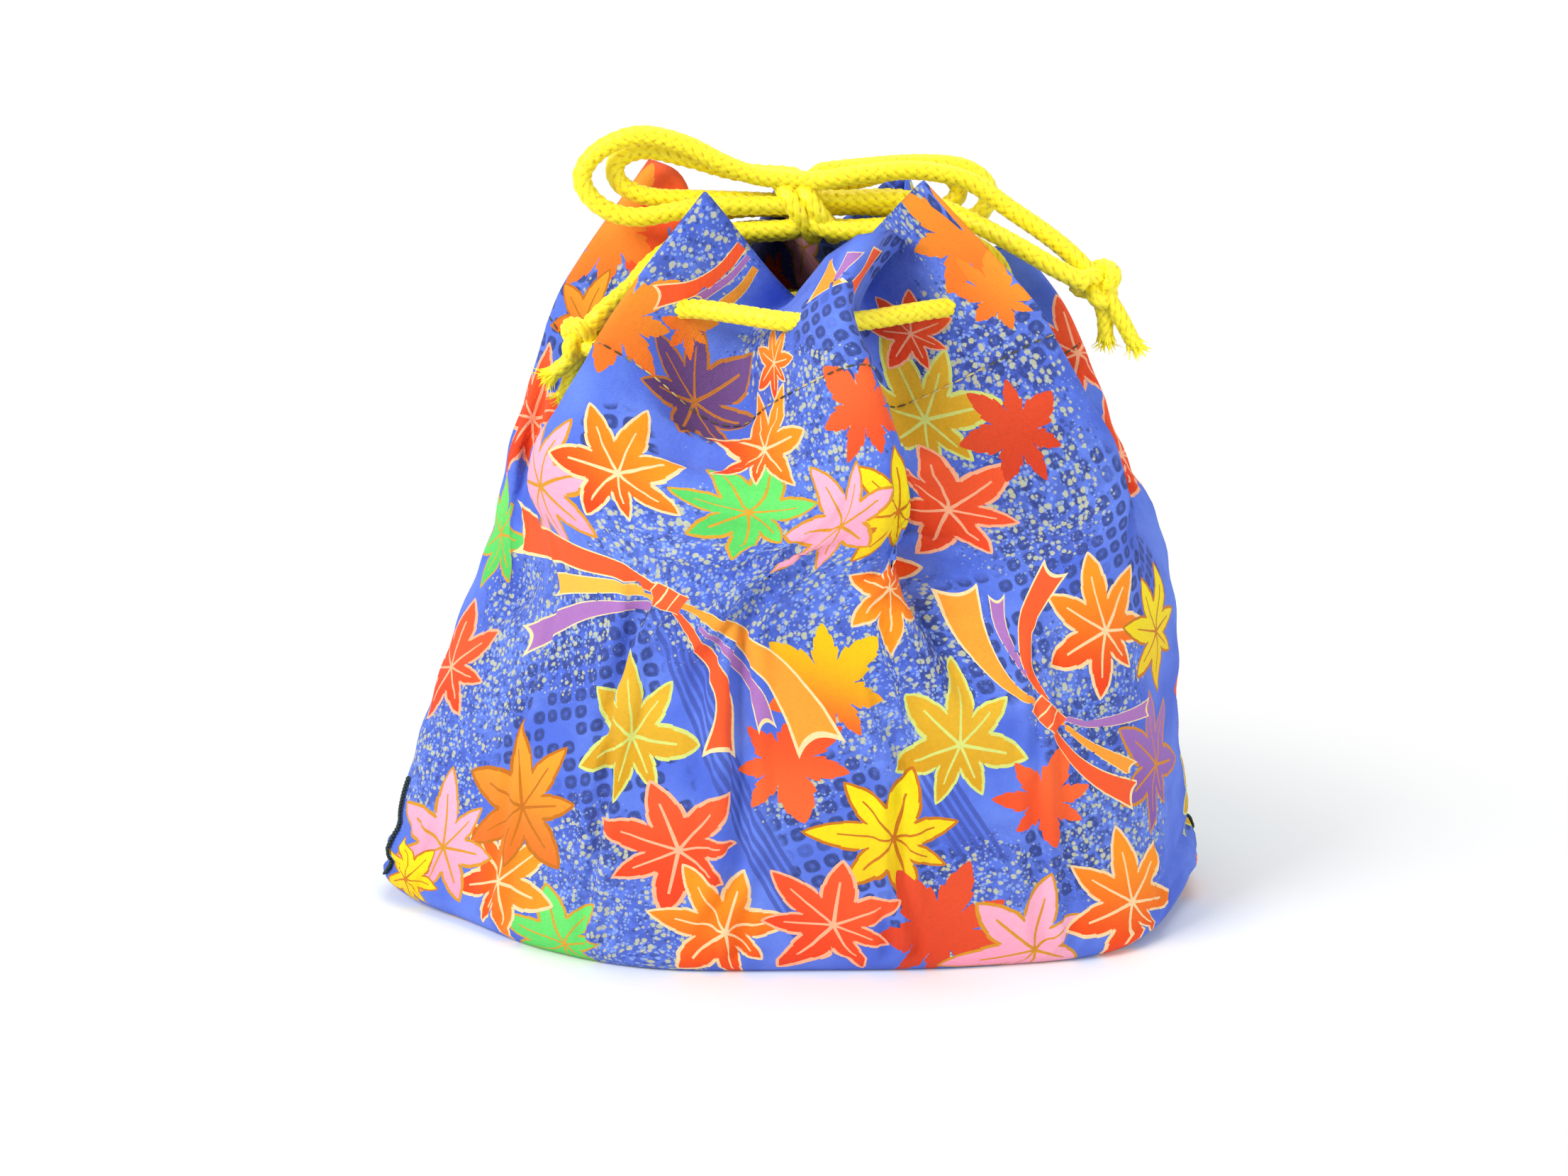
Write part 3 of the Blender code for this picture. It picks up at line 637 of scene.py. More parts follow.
# Ribbons: style, middle line in the photograph's pixels from the tie outwards, width at the tie and at the
# end in millimetres.
RIBBON_STYLES = {
    "red": (250, 92, 44),
    "orange": (252, 160, 52),
    "purple": (172, 116, 186),
    "yellow": (252, 186, 70),
    "tie": (250, 96, 48),
}
RIBBON_NAMES = list(RIBBON_STYLES)
RIBBON_LINE = (250, 222, 164)
FRONT_RIBBONS = (
    ("red", ((930, 836), (880, 806), (826, 786), (780, 768), (728, 740)), 3.4, 12.0),
    ("yellow", ((920, 848), (880, 832), (840, 824), (784, 823)), 2.0, 5.4),
    ("purple", ((918, 858), (870, 856), (812, 866), (735, 905)), 1.8, 7.6),
    ("orange", ((960, 856), (1020, 886), (1084, 938), (1128, 996), (1162, 1060)), 1.8, 10.4),
    ("red", ((955, 868), (1002, 926), (1026, 990), (1018, 1076)), 1.8, 9.6),
    ("purple", ((966, 866), (1024, 918), (1062, 972), (1084, 1032)), 0.9, 4.4),
    ("orange", ((1462, 992), (1418, 962), (1374, 900), (1349, 826)), 1.6, 8.4),
    ("purple", ((1470, 980), (1442, 942), (1414, 888), (1406, 838)), 1.0, 3.8),
    ("red", ((1474, 984), (1450, 936), (1452, 870), (1488, 800)), 1.6, 7.6),
    ("purple", ((1500, 1012), (1546, 1020), (1622, 996)), 1.2, 4.6),
    ("orange", ((1500, 1022), (1540, 1052), (1600, 1086)), 1.2, 4.0),
    ("red", ((1488, 1030), (1514, 1068), (1554, 1100), (1604, 1122)), 1.6, 7.0),
    ("red", ((1044, 350), (1014, 384), (972, 408), (918, 420)), 2.4, 5.6),
    ("purple", ((1054, 364), (1024, 396), (980, 424)), 1.2, 2.6),
    ("orange", ((1064, 380), (1042, 410), (1008, 442)), 1.6, 3.6),
    ("purple", ((1180, 392), (1192, 374), (1206, 354)), 2.6, 4.4),
    ("red", ((1204, 408), (1220, 382), (1240, 350)), 4.6, 7.6),
    ("orange", ((1172, 368), (1168, 390), (1164, 412)), 1.5, 15.0),
)
FRONT_TIES = (
    ((920, 834), (962, 856), 5.6),
    ((1462, 990), (1496, 1024), 5.0),
)

# Clouds of speckle and of dotted squares, each a pixel of the photograph and a reach in millimetres.
SPECKLE_CLOUDS = (
    ((950, 330), 16), ((1285, 300), 9), ((1150, 600), 16), ((1080, 480), 9), ((1010, 800), 20),
    ((800, 880), 15), ((930, 780), 16), ((690, 960), 14), ((620, 1080), 15), ((830, 1230), 16),
    ((1140, 850), 14), ((1440, 700), 18), ((1400, 560), 16), ((1290, 930), 16), ((1290, 1010), 12),
    ((1540, 960), 16), ((1590, 1160), 18), ((1400, 1280), 16), ((1230, 1000), 12), ((1350, 480), 12),
    ((860, 420), 8), ((740, 850), 12), ((1120, 1120), 8), ((900, 1330), 14),
)
DOT_CLOUDS = (
    ((1160, 440), 9), ((1180, 480), 8), ((800, 440), 12), ((780, 500), 10), ((850, 960), 16),
    ((770, 1030), 15), ((880, 1130), 13), ((1272, 345), 8), ((1180, 1140), 11), ((1480, 680), 10),
    ((1520, 760), 16), ((1400, 900), 12), ((1330, 920), 8), ((1540, 1050), 10), ((1190, 1250), 9),
    ((1290, 1250), 10), ((1500, 1200), 10), ((780, 1330), 9), ((1420, 480), 9), ((870, 620), 6),
    ((1250, 520), 8), ((1620, 820), 10), ((1330, 300), 8),
)
# Bands of dark lines: their clouds, the angle across the cloth, a pixel that one band runs through, and
# their spacing and width in millimetres.
BAND_CLOUDS = (
    ((940, 900), 14), ((990, 990), 14), ((1050, 1090), 18), ((1120, 1220), 18), ((1349, 1117), 15),
    ((1400, 1200), 16), ((1440, 1260), 14),
)
BAND_ANGLE = math.radians(28)
BAND_PIXEL = (962, 929)
BAND_PERIOD = 42
BAND_WIDTH = 9


def linear(red, green, blue):
    """A colour as it is written on screens, as light."""
    shares = (value / 255 for value in (red, green, blue))
    return tuple(share / 12.92 if share <= 0.04 else ((share + 0.055) / 1.055) ** 2.4 for share in shares)


class Print:
    """The places of everything printed, in metres on the flat cloth: round from the left, and up."""

    def __init__(self, pouch):
        self.pouch = pouch
        self.leaves = []
        for style, pixel, turn, size in FRONT_LEAVES:
            place = pouch.flat_place(pixel)
            if place is not None:
                self.add_leaf(style, place, math.radians(turn), size)
        self.ribbons = []
        for style, pixels, start, end in FRONT_RIBBONS:
            places = [pouch.flat_place(pixel) for pixel in pixels]
            if all(place is not None for place in places):
                self.ribbons.append((RIBBON_NAMES.index(style), np.array(places), start * MM, end * MM))
        self.ties = []
        for first, second, width in FRONT_TIES:
            places = [pouch.flat_place(first), pouch.flat_place(second)]
            if all(place is not None for place in places):
                self.ties.append((RIBBON_NAMES.index("tie"), np.array(places), width * MM, width * MM))
        self.speckle, self.dots, self.bands = map(self.found, (SPECKLE_CLOUDS, DOT_CLOUDS, BAND_CLOUDS))
        self.scatter()
        self.layers = self.layered()

    def add_leaf(self, style, place, turn, size):
        self.leaves.append((STYLE_NAMES.index(style), place, turn, size * LEAF_RADIUS * MM))

    def found(self, clouds):
        """The clouds whose pixels fall on the cloth, by their places there."""
        places = [(self.pouch.flat_place(pixel), reach * MM) for pixel, reach in clouds]
        return [cloud for cloud in places if cloud[0] is not None]

    def clear_of(self, place, gap):
        """Whether a place on the flat cloth is this far from every leaf and ribbon so far."""
        for _, other, _, _ in self.leaves:
            if np.linalg.norm(round_gap(place - other)) < gap:
                return False
        for _, line, _, _ in self.ribbons:
            if np.linalg.norm(round_gap(place - line), axis=-1).min() < 0.75 * gap:
                return False
        return True

    def scatter(self):
        """Fills the sides, the back, the inside of the hem and the base with more of the same."""
        rng = np.random.default_rng(SCATTER_SEED)
        low, high = -0.12, float(self.pouch.heights[-1])
        seen = np.array([place for _, place, _, _ in self.leaves])
        for _ in range(SCATTER_TRIES):
            place = np.array((rng.uniform(0, CLOTH_ROUND), rng.uniform(low, high)))
            turn, size = rng.uniform(0, 2 * math.pi), rng.uniform(0.9, 1.15)
            style = SIDE_STYLES[rng.integers(len(SIDE_STYLES))]
            in_front = np.linalg.norm(round_gap(place - seen), axis=1).min() < FRONT_GAP
            if not in_front and self.clear_of(place, SCATTER_GAP * MM):
                self.add_leaf(style, place, turn, size)
        for cell in range(CLOUDS_ROUND * CLOUDS_UP):
            across = (cell % CLOUDS_ROUND + rng.uniform(0.1, 0.9)) / CLOUDS_ROUND
            up = (cell // CLOUDS_ROUND + rng.uniform(0.1, 0.9)) / CLOUDS_UP
            place = np.array((across * CLOTH_ROUND, -0.1 + up * (high + 0.1)))
            if np.linalg.norm(round_gap(place - seen), axis=1).min() > FRONT_GAP:
                self.speckle.append((place, rng.uniform(12, 20) * MM))
                self.dots.append((place + rng.uniform(-0.02, 0.02, 2), rng.uniform(8, 13) * MM))
                self.bands.append((place + rng.uniform(-0.03, 0.03, 2), rng.uniform(10, 20) * MM))

    def layered(self):
        """The leaves in layers in which none overlap, in the order in which they lie on each other."""
        layers = [[] for _ in range(LEAF_LAYERS)]
        level_of = []
        for index, (style, place, turn, size) in enumerate(self.leaves):
            under = [
                level for level, (_, other, _, reach) in zip(level_of, self.leaves[:index])
                if np.linalg.norm(round_gap(place - other)) < 0.94 * (size + reach)
            ]
            level = min(LEAF_LAYERS - 1, max(under) + 1) if under else 0
            level_of.append(level)
            layers[level].append((style, place, turn, size))
        return layers

    def cloud(self, clouds, flat):
        """How thick a kind of cloud is at these places."""
        thick = np.zeros(flat.shape[:-1])
        for place, reach in clouds:
            gap = np.linalg.norm(round_gap(flat - place), axis=-1)
            thick = np.maximum(thick, np.clip(1.7 - 1.15 * gap / reach, 0, 1))
        return thick


def round_gap(gap):
    """The shorter way round the cloth."""
    gap = np.array(gap, float)
    gap[..., 0] = (gap[..., 0] + CLOTH_ROUND / 2) % CLOTH_ROUND - CLOTH_ROUND / 2
    return gap


def leaf_attribute(leaves, flat, middle):
    """For each face corner: its place on the nearest leaf, in leaf radii, and the leaf's style."""
    out = np.full(flat.shape[:2] + (3,), 9.0, np.float32)
    if not leaves:
        return out
    gaps = np.stack([
        np.linalg.norm(round_gap(middle - place), axis=-1) / size for _, place, _, size in leaves
    ])
    nearest = gaps.argmin(axis=0)
    for index, (style, place, turn, size) in enumerate(leaves):
        faces = (nearest == index) & (gaps[index] < 1.35)
        if not faces.any():
            continue
        whole_turns = np.round((middle[faces] - place)[:, 0] / CLOTH_ROUND) * CLOTH_ROUND
        gap = flat[faces] - place
        gap[..., 0] -= whole_turns[:, None]
        out[faces, :, 0] = (gap[..., 0] * math.cos(turn) + gap[..., 1] * math.sin(turn)) / size
        out[faces, :, 1] = (-gap[..., 0] * math.sin(turn) + gap[..., 1] * math.cos(turn)) / size
        out[faces, :, 2] = style + 0.5
    return out


def ribbon_attribute(ribbons, flat, middle):
    """For each face corner: how far across and along the nearest ribbon it is, and the ribbon's style."""
    out = np.full(flat.shape[:2] + (3,), 9.0, np.float32)
    best = np.full(len(flat), 1.6)
    for style, places, start, end in ribbons:
        line = respaced(spline(places, np.linspace(0, len(places) - 1, 60)), 0.0008)
        count = len(line)
        length = walked(line)[-1]
        lead = 0.004
        first = line[:1] + (line[:1] - line[1:2]) / np.linalg.norm(line[1] - line[0]) * lead
        last = line[-1:] + (line[-1:] - line[-2:-1]) / np.linalg.norm(line[-1] - line[-2]) * lead
        line = np.vstack([first, line, last])
        along = np.concatenate([[-lead], np.linspace(0, length, count), [length + lead]]) / length
        far = np.linalg.norm(round_gap(middle[:, None] - line[None, ::6]), axis=-1).min(axis=1)
        index = np.flatnonzero(far < end + 0.006)
        if not len(index):
            continue
        points = flat[index].reshape(-1, 2)
        begins, runs = line[:-1], np.diff(line, axis=0)
        gap = points[:, None] - begins[None]
        part = np.clip((gap * runs[None]).sum(-1) / (runs * runs).sum(-1)[None], 0, 1)
        off = gap - part[..., None] * runs[None]
        far = np.linalg.norm(off, axis=-1)
        pick = far.argmin(axis=1)
        rows = np.arange(len(points))
        side = np.sign(runs[pick, 0] * off[rows, pick, 1] - runs[pick, 1] * off[rows, pick, 0])
        at = along[pick] + part[rows, pick] * (along[pick + 1] - along[pick])
        half = (start + (end - start) * np.clip(at, 0, 1) ** 1.3) / 2
        across = (side * far[rows, pick] / half).reshape(-1, flat.shape[1])
        at = at.reshape(-1, flat.shape[1])
        mean = np.abs(across).mean(axis=1)
        closer = mean < best[index]
        chosen = index[closer]
        best[chosen] = mean[closer]
        out[chosen, :, 0] = across[closer]
        out[chosen, :, 1] = at[closer]
        out[chosen, :, 2] = style + 0.5
    return out


# Shader nodes

class Wire:
    """A socket that carries a number. Python's own operators on it add Math nodes."""

    def __init__(self, desk, socket):
        self.desk, self.socket = desk, socket

    def maths(self, operation, *values):
        node = self.desk.node("ShaderNodeMath", {"operation": operation}, dict(enumerate(values)))
        return Wire(self.desk, node.outputs[0])

    def __add__(self, other):
        return self.maths("ADD", self, other)

    def __radd__(self, other):
        return self.maths("ADD", other, self)

    def __sub__(self, other):
        return self.maths("SUBTRACT", self, other)

    def __rsub__(self, other):
        return self.maths("SUBTRACT", other, self)

    def __mul__(self, other):
        return self.maths("MULTIPLY", self, other)

    def __rmul__(self, other):
        return self.maths("MULTIPLY", other, self)

    def __truediv__(self, other):
        return self.maths("DIVIDE", self, other)

    def __rtruediv__(self, other):
        return self.maths("DIVIDE", other, self)

    def __pow__(self, other):
        return self.maths("POWER", self, other)

    def __abs__(self):
        return self.maths("ABSOLUTE", self)

    def __gt__(self, other):
        return self.maths("GREATER_THAN", self, other)

    def __lt__(self, other):
        return self.maths("LESS_THAN", self, other)

    def sine(self):
        return self.maths("SINE", self)

    def cosine(self):
        return self.maths("COSINE", self)

    def floor(self):
        return self.maths("FLOOR", self)

    def rounded(self):
        return self.maths("ROUND", self)

    def fraction(self):
        return self.maths("FRACT", self)

    def least(self, other):
        return self.maths("MINIMUM", self, other)

    def most(self, other):
        return self.maths("MAXIMUM", self, other)

    def step(self, start, end):
        """Smoothly from 0 at start to 1 at end."""
        node = self.desk.node("ShaderNodeMapRange", {"interpolation_type": "SMOOTHSTEP"}, {
            "Value": self, "From Min": start, "From Max": end,
        })
        return Wire(self.desk, node.outputs[0])


class Desk:
    """A material's node tree, and the one way in which nodes are added to it."""

    def __init__(self, name):
        self.material = bpy.data.materials.new(name)
        self.material.use_nodes = True
        self.tree = self.material.node_tree
        self.tree.nodes.clear()
        self.shader = self.node("ShaderNodeBsdfPrincipled", {}, {})
        self.output = self.node("ShaderNodeOutputMaterial", {}, {"Surface": self.shader.outputs[0]})

    def node(self, kind, settings, inputs):
        made = self.tree.nodes.new(kind)
        for name, value in settings.items():
            if name == "stops":
                self.set_stops(made.color_ramp, value)
            else:
                setattr(made, name, value)
        for name, value in inputs.items():
            self.join(value, made.inputs[name])
        return made

    def join(self, value, socket):
        if isinstance(value, Wire):
            value = value.socket
        if isinstance(value, bpy.types.NodeSocket):
            self.tree.links.new(value, socket)
        else:
            socket.default_value = value

    @staticmethod
    def set_stops(ramp, stops):
        ramp.interpolation = "CONSTANT"
        while len(ramp.elements) < len(stops):
            ramp.elements.new(1)
        for element, (position, colour) in zip(ramp.elements, stops):
            element.position = position
            element.color = (*colour, 1)

    def attribute(self, name):
        node = self.node("ShaderNodeAttribute", {"attribute_name": name}, {})
        parts = self.node("ShaderNodeSeparateXYZ", {}, {0: node.outputs["Vector"]})
        return [Wire(self, parts.outputs[k]) for k in range(3)]

    def vector(self, x, y, z=0.0):
        return self.node("ShaderNodeCombineXYZ", {}, {0: x, 1: y, 2: z}).outputs[0]

    def mix(self, factor, low, high):
        node = self.node("ShaderNodeMix", {"data_type": "RGBA"}, {"Factor": factor, 6: low, 7: high})
        return node.outputs[2]

    def choose(self, factor, colours):
        count = len(colours)
        stops = [(index / count, colour) for index, colour in enumerate(colours)]
        return self.node("ShaderNodeValToRGB", {"stops": stops}, {0: factor / count}).outputs[0]

    def noise(self, where, scale, detail=2.0, roughness=0.5):
        node = self.node("ShaderNodeTexNoise", {}, {
            "Vector": where, "Scale": scale, "Detail": detail, "Roughness": roughness,
        })
        return Wire(self, node.outputs["Fac"])

    def cells(self, where, scale, randomness=1.0):
        node = self.node("ShaderNodeTexVoronoi", {"feature": "F1"}, {
            "Vector": where, "Scale": scale, "Randomness": randomness,
        })
        parts = self.node("ShaderNodeSeparateColor", {}, {0: node.outputs["Color"]})
        return Wire(self, node.outputs["Distance"]), Wire(self, parts.outputs[0])

    def bump(self, height, strength, distance):
        node = self.node("ShaderNodeBump", {}, {
            "Strength": strength, "Distance": distance, "Height": height,
        })
        self.join(node.outputs[0], self.shader.inputs["Normal"])


LOBE_COUNT = 7
LOBE_ANGLE = 2 * math.pi / LOBE_COUNT


def leaf_layer(desk, name, under):
    """Paints one layer of leaves over a colour: seven pointed lobes round the leaf's middle, with veins."""
    across, up, style = desk.attribute(name)
    reach = (across * across + up * up) ** 0.5
    angle = across.maths("ARCTAN2", across, up)
    angle = angle + (angle * 2.0 + style * 1.7).sine() * 0.12
    lobe = (angle / LOBE_ANGLE).rounded() * LOBE_ANGLE
    off = angle - lobe
    along = reach * off.cosine()
    aside = abs(reach * off.sine())
    length = (lobe + 0.5).cosine() * 0.12 + (lobe * 3.0 + style * 1.9).cosine() * 0.07 + 0.84
    part = (along / length).most(0.0).least(1.0)
    plain = style > FIRST_PLAIN
    teeth = ((part * 5.0).fraction() - 0.5) * (1.0 - part) * (plain * 0.09 + 0.03)
    width = ((part + 0.03) ** 0.55) * ((1.0 - part) ** 0.8) * length * 0.53 + teeth
    edge = width - aside
    inside = edge > 0.0
    line = (edge < 0.040) * (1.0 - plain)
    vein = (aside < 0.019 - part * 0.012) * (part < 0.66) * (1.0 - plain)
    lines = line.most(vein) * inside
    tip, foot, stroke = (
        desk.choose(style, [linear(*colours[index]) for colours in LEAF_STYLES.values()])
        for index in range(3)
    )
    fill = desk.mix((up + across * 0.5).step(0.75, -0.75), tip, foot)
    leaf = desk.mix(lines, fill, stroke)
    return desk.mix(inside * (style < len(LEAF_STYLES) + 0.4), under, leaf)


def ribbon_layer(desk, name, under, tie=False):
    """Paints the ribbons, or the ties round them, over a colour."""
    across, along, style = desk.attribute(name)
    side = abs(across)
    if tie:
        inside = (side < 1.0) * (along > 0.0) * (along < 1.0)
        lines = ((along * 3.0).fraction() < 0.13).most(side > 0.93)
    else:
        end = 1.0 - 0.06 * (1.0 - side * side)
        inside = (side < 1.0) * (along > -0.03) * (along < end)
        lines = (side > 0.86).most(along > end - 0.028)
    fill = desk.choose(style, [linear(*colour) for colour in RIBBON_STYLES.values()])
    ribbon = desk.mix(lines, fill, (*linear(*RIBBON_LINE), 1))
    return desk.mix(inside * (style < len(RIBBON_NAMES) + 0.4), under, ribbon)


def cloth_material(settings, first_band):
    """Printed cotton: leaves and tied ribbons over blue with speckle, dotted squares and bands of lines."""
    desk = Desk("printed_cotton")
    flat = desk.node("ShaderNodeUVMap", {"uv_map": "flat"}, {}).outputs[0]
    parts = desk.node("ShaderNodeSeparateXYZ", {}, {0: flat})
    round_mm = Wire(desk, parts.outputs[0]) * 1000.0
    up_mm = Wire(desk, parts.outputs[1]) * 1000.0
    where = desk.vector(round_mm, up_mm)
    speckle, dots, banded = desk.attribute("clouds")
    blue = (*settings.ground_blue, 1)
    ground = desk.mix(desk.noise(where, 0.05, 3.0).step(0.35, 0.68), blue, (*settings.pale_blue, 1))
    slate, navy, ink = (*linear(64, 80, 164), 1), (*linear(52, 66, 128), 1), (*linear(52, 66, 124), 1)
    sky, cream = (*linear(150, 178, 232), 1), (*linear(196, 198, 162), 1)
    # Bands of five dark lines.
    cosine, sine = math.cos(BAND_ANGLE), math.sin(BAND_ANGLE)
    start = float(first_band[0]) * cosine + float(first_band[1]) * sine - BAND_WIDTH / 2
    band = ((round_mm * cosine + up_mm * sine - start) / BAND_PERIOD).fraction()
    band = band * (BAND_PERIOD / BAND_WIDTH)
    stripe = abs((band * 5.0).fraction() - 0.5).step(0.38, 0.20)
    banded = (band < 1.0) * stripe * banded.step(0.05, 0.5) * (speckle < 0.85) * 0.75
    ground = desk.mix(banded, ground, slate)
    # Rows of dark dotted squares.
    slant_x = (round_mm * 0.94 + up_mm * 0.34) / 4.0
    slant_y = (up_mm * 0.94 - round_mm * 0.34) / 4.0
    cell_x, cell_y = slant_x.fraction() - 0.5, slant_y.fraction() - 0.5
    spot = (abs(cell_x)**2.6 + abs(cell_y)**2.6) ** 0.385
    cell_seed = desk.noise(desk.vector(slant_x.floor(), slant_y.floor()), 0.93, 0.0)
    blotch = desk.noise(where, 0.9, 2.0)
    ring = spot.step(0.44, 0.33) * (spot.step(0.02, 0.2) * 0.5 + 0.5) * (blotch * 0.8 + 0.45)
    dotted = ring * dots.step(0.15, 0.45) * cell_seed.step(0.28, 0.38) * 1.05
    ground = desk.mix(dotted.least(0.92), ground, navy)
    # Speckle: dark between the dots, then fine and pale blue, then coarse and cream.
    grit = desk.noise(where, 1.5, 2.0) - 0.5
    mottled = desk.noise(where, 0.30, 2.0, 0.5).step(0.35, 0.60) * speckle * 0.55
    ground = desk.mix(mottled, ground, slate)
    shade, shade_seed = desk.cells(desk.vector(round_mm + 3.3, up_mm + 7.7), 0.72)
    dark = (speckle.step(0.0, 0.7) * 0.46 + grit * 0.4) * (shade_seed * 0.7 + 0.3)
    ground = desk.mix((dark - shade).step(-0.08, 0.10) * 0.62, ground, ink)
    fine, fine_seed = desk.cells(where, 1.05)
    coarse, coarse_seed = desk.cells(where, 0.74)
    thin = (speckle * 0.42 + 0.02 + grit * 0.2) * (fine_seed * 0.8 + 0.4)
    ground = desk.mix((thin - fine).step(-0.06, 0.10) * 0.72, ground, sky)
    thick = (speckle.step(0.1, 0.75) * 0.50 + grit * 0.5) * coarse_seed.step(-0.1, 0.9)
    colour = desk.mix((thick - coarse).step(-0.08, 0.12) * 0.88, ground, cream)
    for layer in range(LEAF_LAYERS):
        colour = leaf_layer(desk, f"leaves_{layer}", colour)
    colour = ribbon_layer(desk, "ribbons", colour)
    colour = ribbon_layer(desk, "ties", colour, tie=True)
    # The weave darkens the print a little, unevenly.
    grain = desk.noise(where, 1.1, 3.0, 0.7)
    colour = desk.mix(grain.step(0.3, 0.8) * 0.10, colour, (0.02, 0.02, 0.03, 1))
    desk.join(colour, desk.shader.inputs["Base Color"])
    desk.shader.inputs["Roughness"].default_value = 0.82
    desk.shader.inputs["Specular IOR Level"].default_value = 0.15
    desk.shader.inputs["Sheen Weight"].default_value = 0.06
    threads = (round_mm * (2 * math.pi / 0.5)).sine() * (up_mm * (2 * math.pi / 0.5)).sine()
    crinkle = desk.noise(where, 0.16, 4.0, 0.55)
    desk.bump(threads * 0.12 + grain * 0.5 + crinkle * 2.2, 0.6, 0.0006)
    return desk.material


def braid_material(settings):
    """Glossy yellow braid, darker in its grooves as painted shade."""
    desk = Desk("yellow_braid")
    groove, _, _ = desk.attribute("braid")
    where = desk.node("ShaderNodeTexCoord", {}, {}).outputs["Object"]
    fuzz = desk.noise(where, 2600.0, 2.0, 0.6)
    # The grooves' darker yellow is painted shade, laid on by the braid's height.
    colour = desk.mix(groove.step(0.15, 0.75), (*settings.cord_groove_painted_shade, 1), (*settings.cord_yellow, 1))
    desk.join(colour, desk.shader.inputs["Base Color"])
    desk.shader.inputs["Roughness"].default_value = 0.5
    desk.shader.inputs["Sheen Weight"].default_value = 0.15
    desk.bump(fuzz, 0.4, 0.0002)
    return desk.material


def thread_material(name, pale, dark):
    """Variegated sewing thread, which changes colour along its length."""
    desk = Desk(name)
    where = desk.node("ShaderNodeTexCoord", {}, {}).outputs["Object"]
    colour = desk.mix(desk.noise(where, 90.0, 1.0).step(0.42, 0.58), (*pale, 1), (*dark, 1))
    desk.join(colour, desk.shader.inputs["Base Color"])
    desk.shader.inputs["Roughness"].default_value = 0.7
    desk.bump(desk.noise(where, 4000.0, 1.0), 0.3, 0.0001)
    return desk.material


# Braided cord

CORD_DIAMETER = 0.0045
BRAID_SIDES = 24
BRAID_STEP = 0.0005
STRANDS = 6
BRAID_PITCH = 0.0155
# The braid's radius in a groove, and how much more it is on a strand, as shares of the cord's.
GROOVE_RADIUS, STRAND_RISE = 0.70, 0.29


def steady_frames(points):
    """Two directions square to a line at each of its points, which turn no more than they must."""
    tangents = unit(np.gradient(points, axis=0))
    side = np.array(Vector(tangents[0]).orthogonal().normalized())
    sides = []
    for tangent in tangents:
        side = side - tangent * (side @ tangent)
        side = side / np.linalg.norm(side)
        sides.append(side)
    sides = np.array(sides)
    return sides, np.cross(tangents, sides)


def braid_height(turns, along):
    """How high the braid stands, between 0 in a groove and 1 on a strand, at turns round and turns along."""
    one, other = STRANDS * turns + along, STRANDS * turns - along
    across_one, across_other = 2 * (one % 1) - 1, 2 * (other % 1) - 1
    over = (np.floor(one) + np.floor(other)) % 2 < 0.5
    strand = np.where(over, across_one, across_other)
    dive = np.where(over, across_other, across_one)
    return np.sqrt(np.maximum(0, 1 - strand**2)) * (1 - 0.55 * dive**4)


def braided(name, lines, material, diameter=CORD_DIAMETER, closed=False, taper=0.0):
    """Closed braided tubes along these lines of points, as one mesh."""
    points, faces, heights = [], [], []
    turns = np.arange(BRAID_SIDES) / BRAID_SIDES
    for line in lines:
        line = np.asarray(line, float)
        if closed:
            line = np.vstack([line, line[:1]])
        line = respaced(line, BRAID_STEP * diameter / CORD_DIAMETER)
        if closed:
            line = line[:-1]
            longer = np.vstack([line[-4:], line, line[:4]])
            sides, ups = (frame[4:-4] for frame in steady_frames(longer))
        else:
            sides, ups = steady_frames(line)
        count = len(line)
        along = np.arange(count) * BRAID_STEP / BRAID_PITCH * STRANDS
        if closed:
            along = along * max(1, round(along[-1])) / along[-1]
        height = braid_height(turns[None], along[:, None])
        radius = diameter / 2 * (GROOVE_RADIUS + STRAND_RISE * height)
        if taper:
            radius *= np.interp(np.arange(count) / (count - 1), (0, 1), (1, 1 - taper))[:, None]
        round_x, round_y = np.cos(2 * math.pi * turns), np.sin(2 * math.pi * turns)
        ring = line[:, None] + radius[..., None] * (
            round_x[None, :, None] * sides[:, None] + round_y[None, :, None] * ups[:, None]
        )
        first = sum(len(p) for p in points)
        points.append(ring.reshape(-1, 3))
        heights.append(height.reshape(-1))
        rows = np.arange(count if closed else count - 1)
        low = first + rows[:, None] * BRAID_SIDES
        high = first + (rows[:, None] + 1) % count * BRAID_SIDES
        side = np.arange(BRAID_SIDES)[None]
        following = (side + 1) % BRAID_SIDES
        quads = np.stack([low + side, low + following, high + following, high + side], -1)
        faces += quads.reshape(-1, 4).tolist()
        if not closed:
            faces.append([first + k for k in reversed(range(BRAID_SIDES))])
            faces.append([first + (count - 1) * BRAID_SIDES + k for k in range(BRAID_SIDES)])
    mesh = bpy.data.meshes.new(name)
    mesh.from_pydata(np.concatenate(points).tolist(), [], faces)
    shade = mesh.attributes.new("braid", "FLOAT_VECTOR", "POINT")
    stacked = np.concatenate(heights)
    shade.data.foreach_set("vector", np.repeat(stacked[:, None], 3, axis=1).astype(np.float32).ravel())
    mesh.update()
    mesh.shade_smooth()
    return linked(name, mesh, material)


def linked(name, mesh, material):
    """A new object of this mesh in the scene, at the origin, facing outwards."""
    made = bpy.data.objects.new(name, mesh)
    bpy.context.scene.collection.objects.link(made)
    mesh.materials.clear()
    mesh.materials.append(material)
    shape = bmesh.new()
    shape.from_mesh(mesh)
    bmesh.ops.recalc_face_normals(shape, faces=shape.faces)
    shape.to_mesh(mesh)
    shape.free()
    return made


# The cords' routes, in drawn millimetres

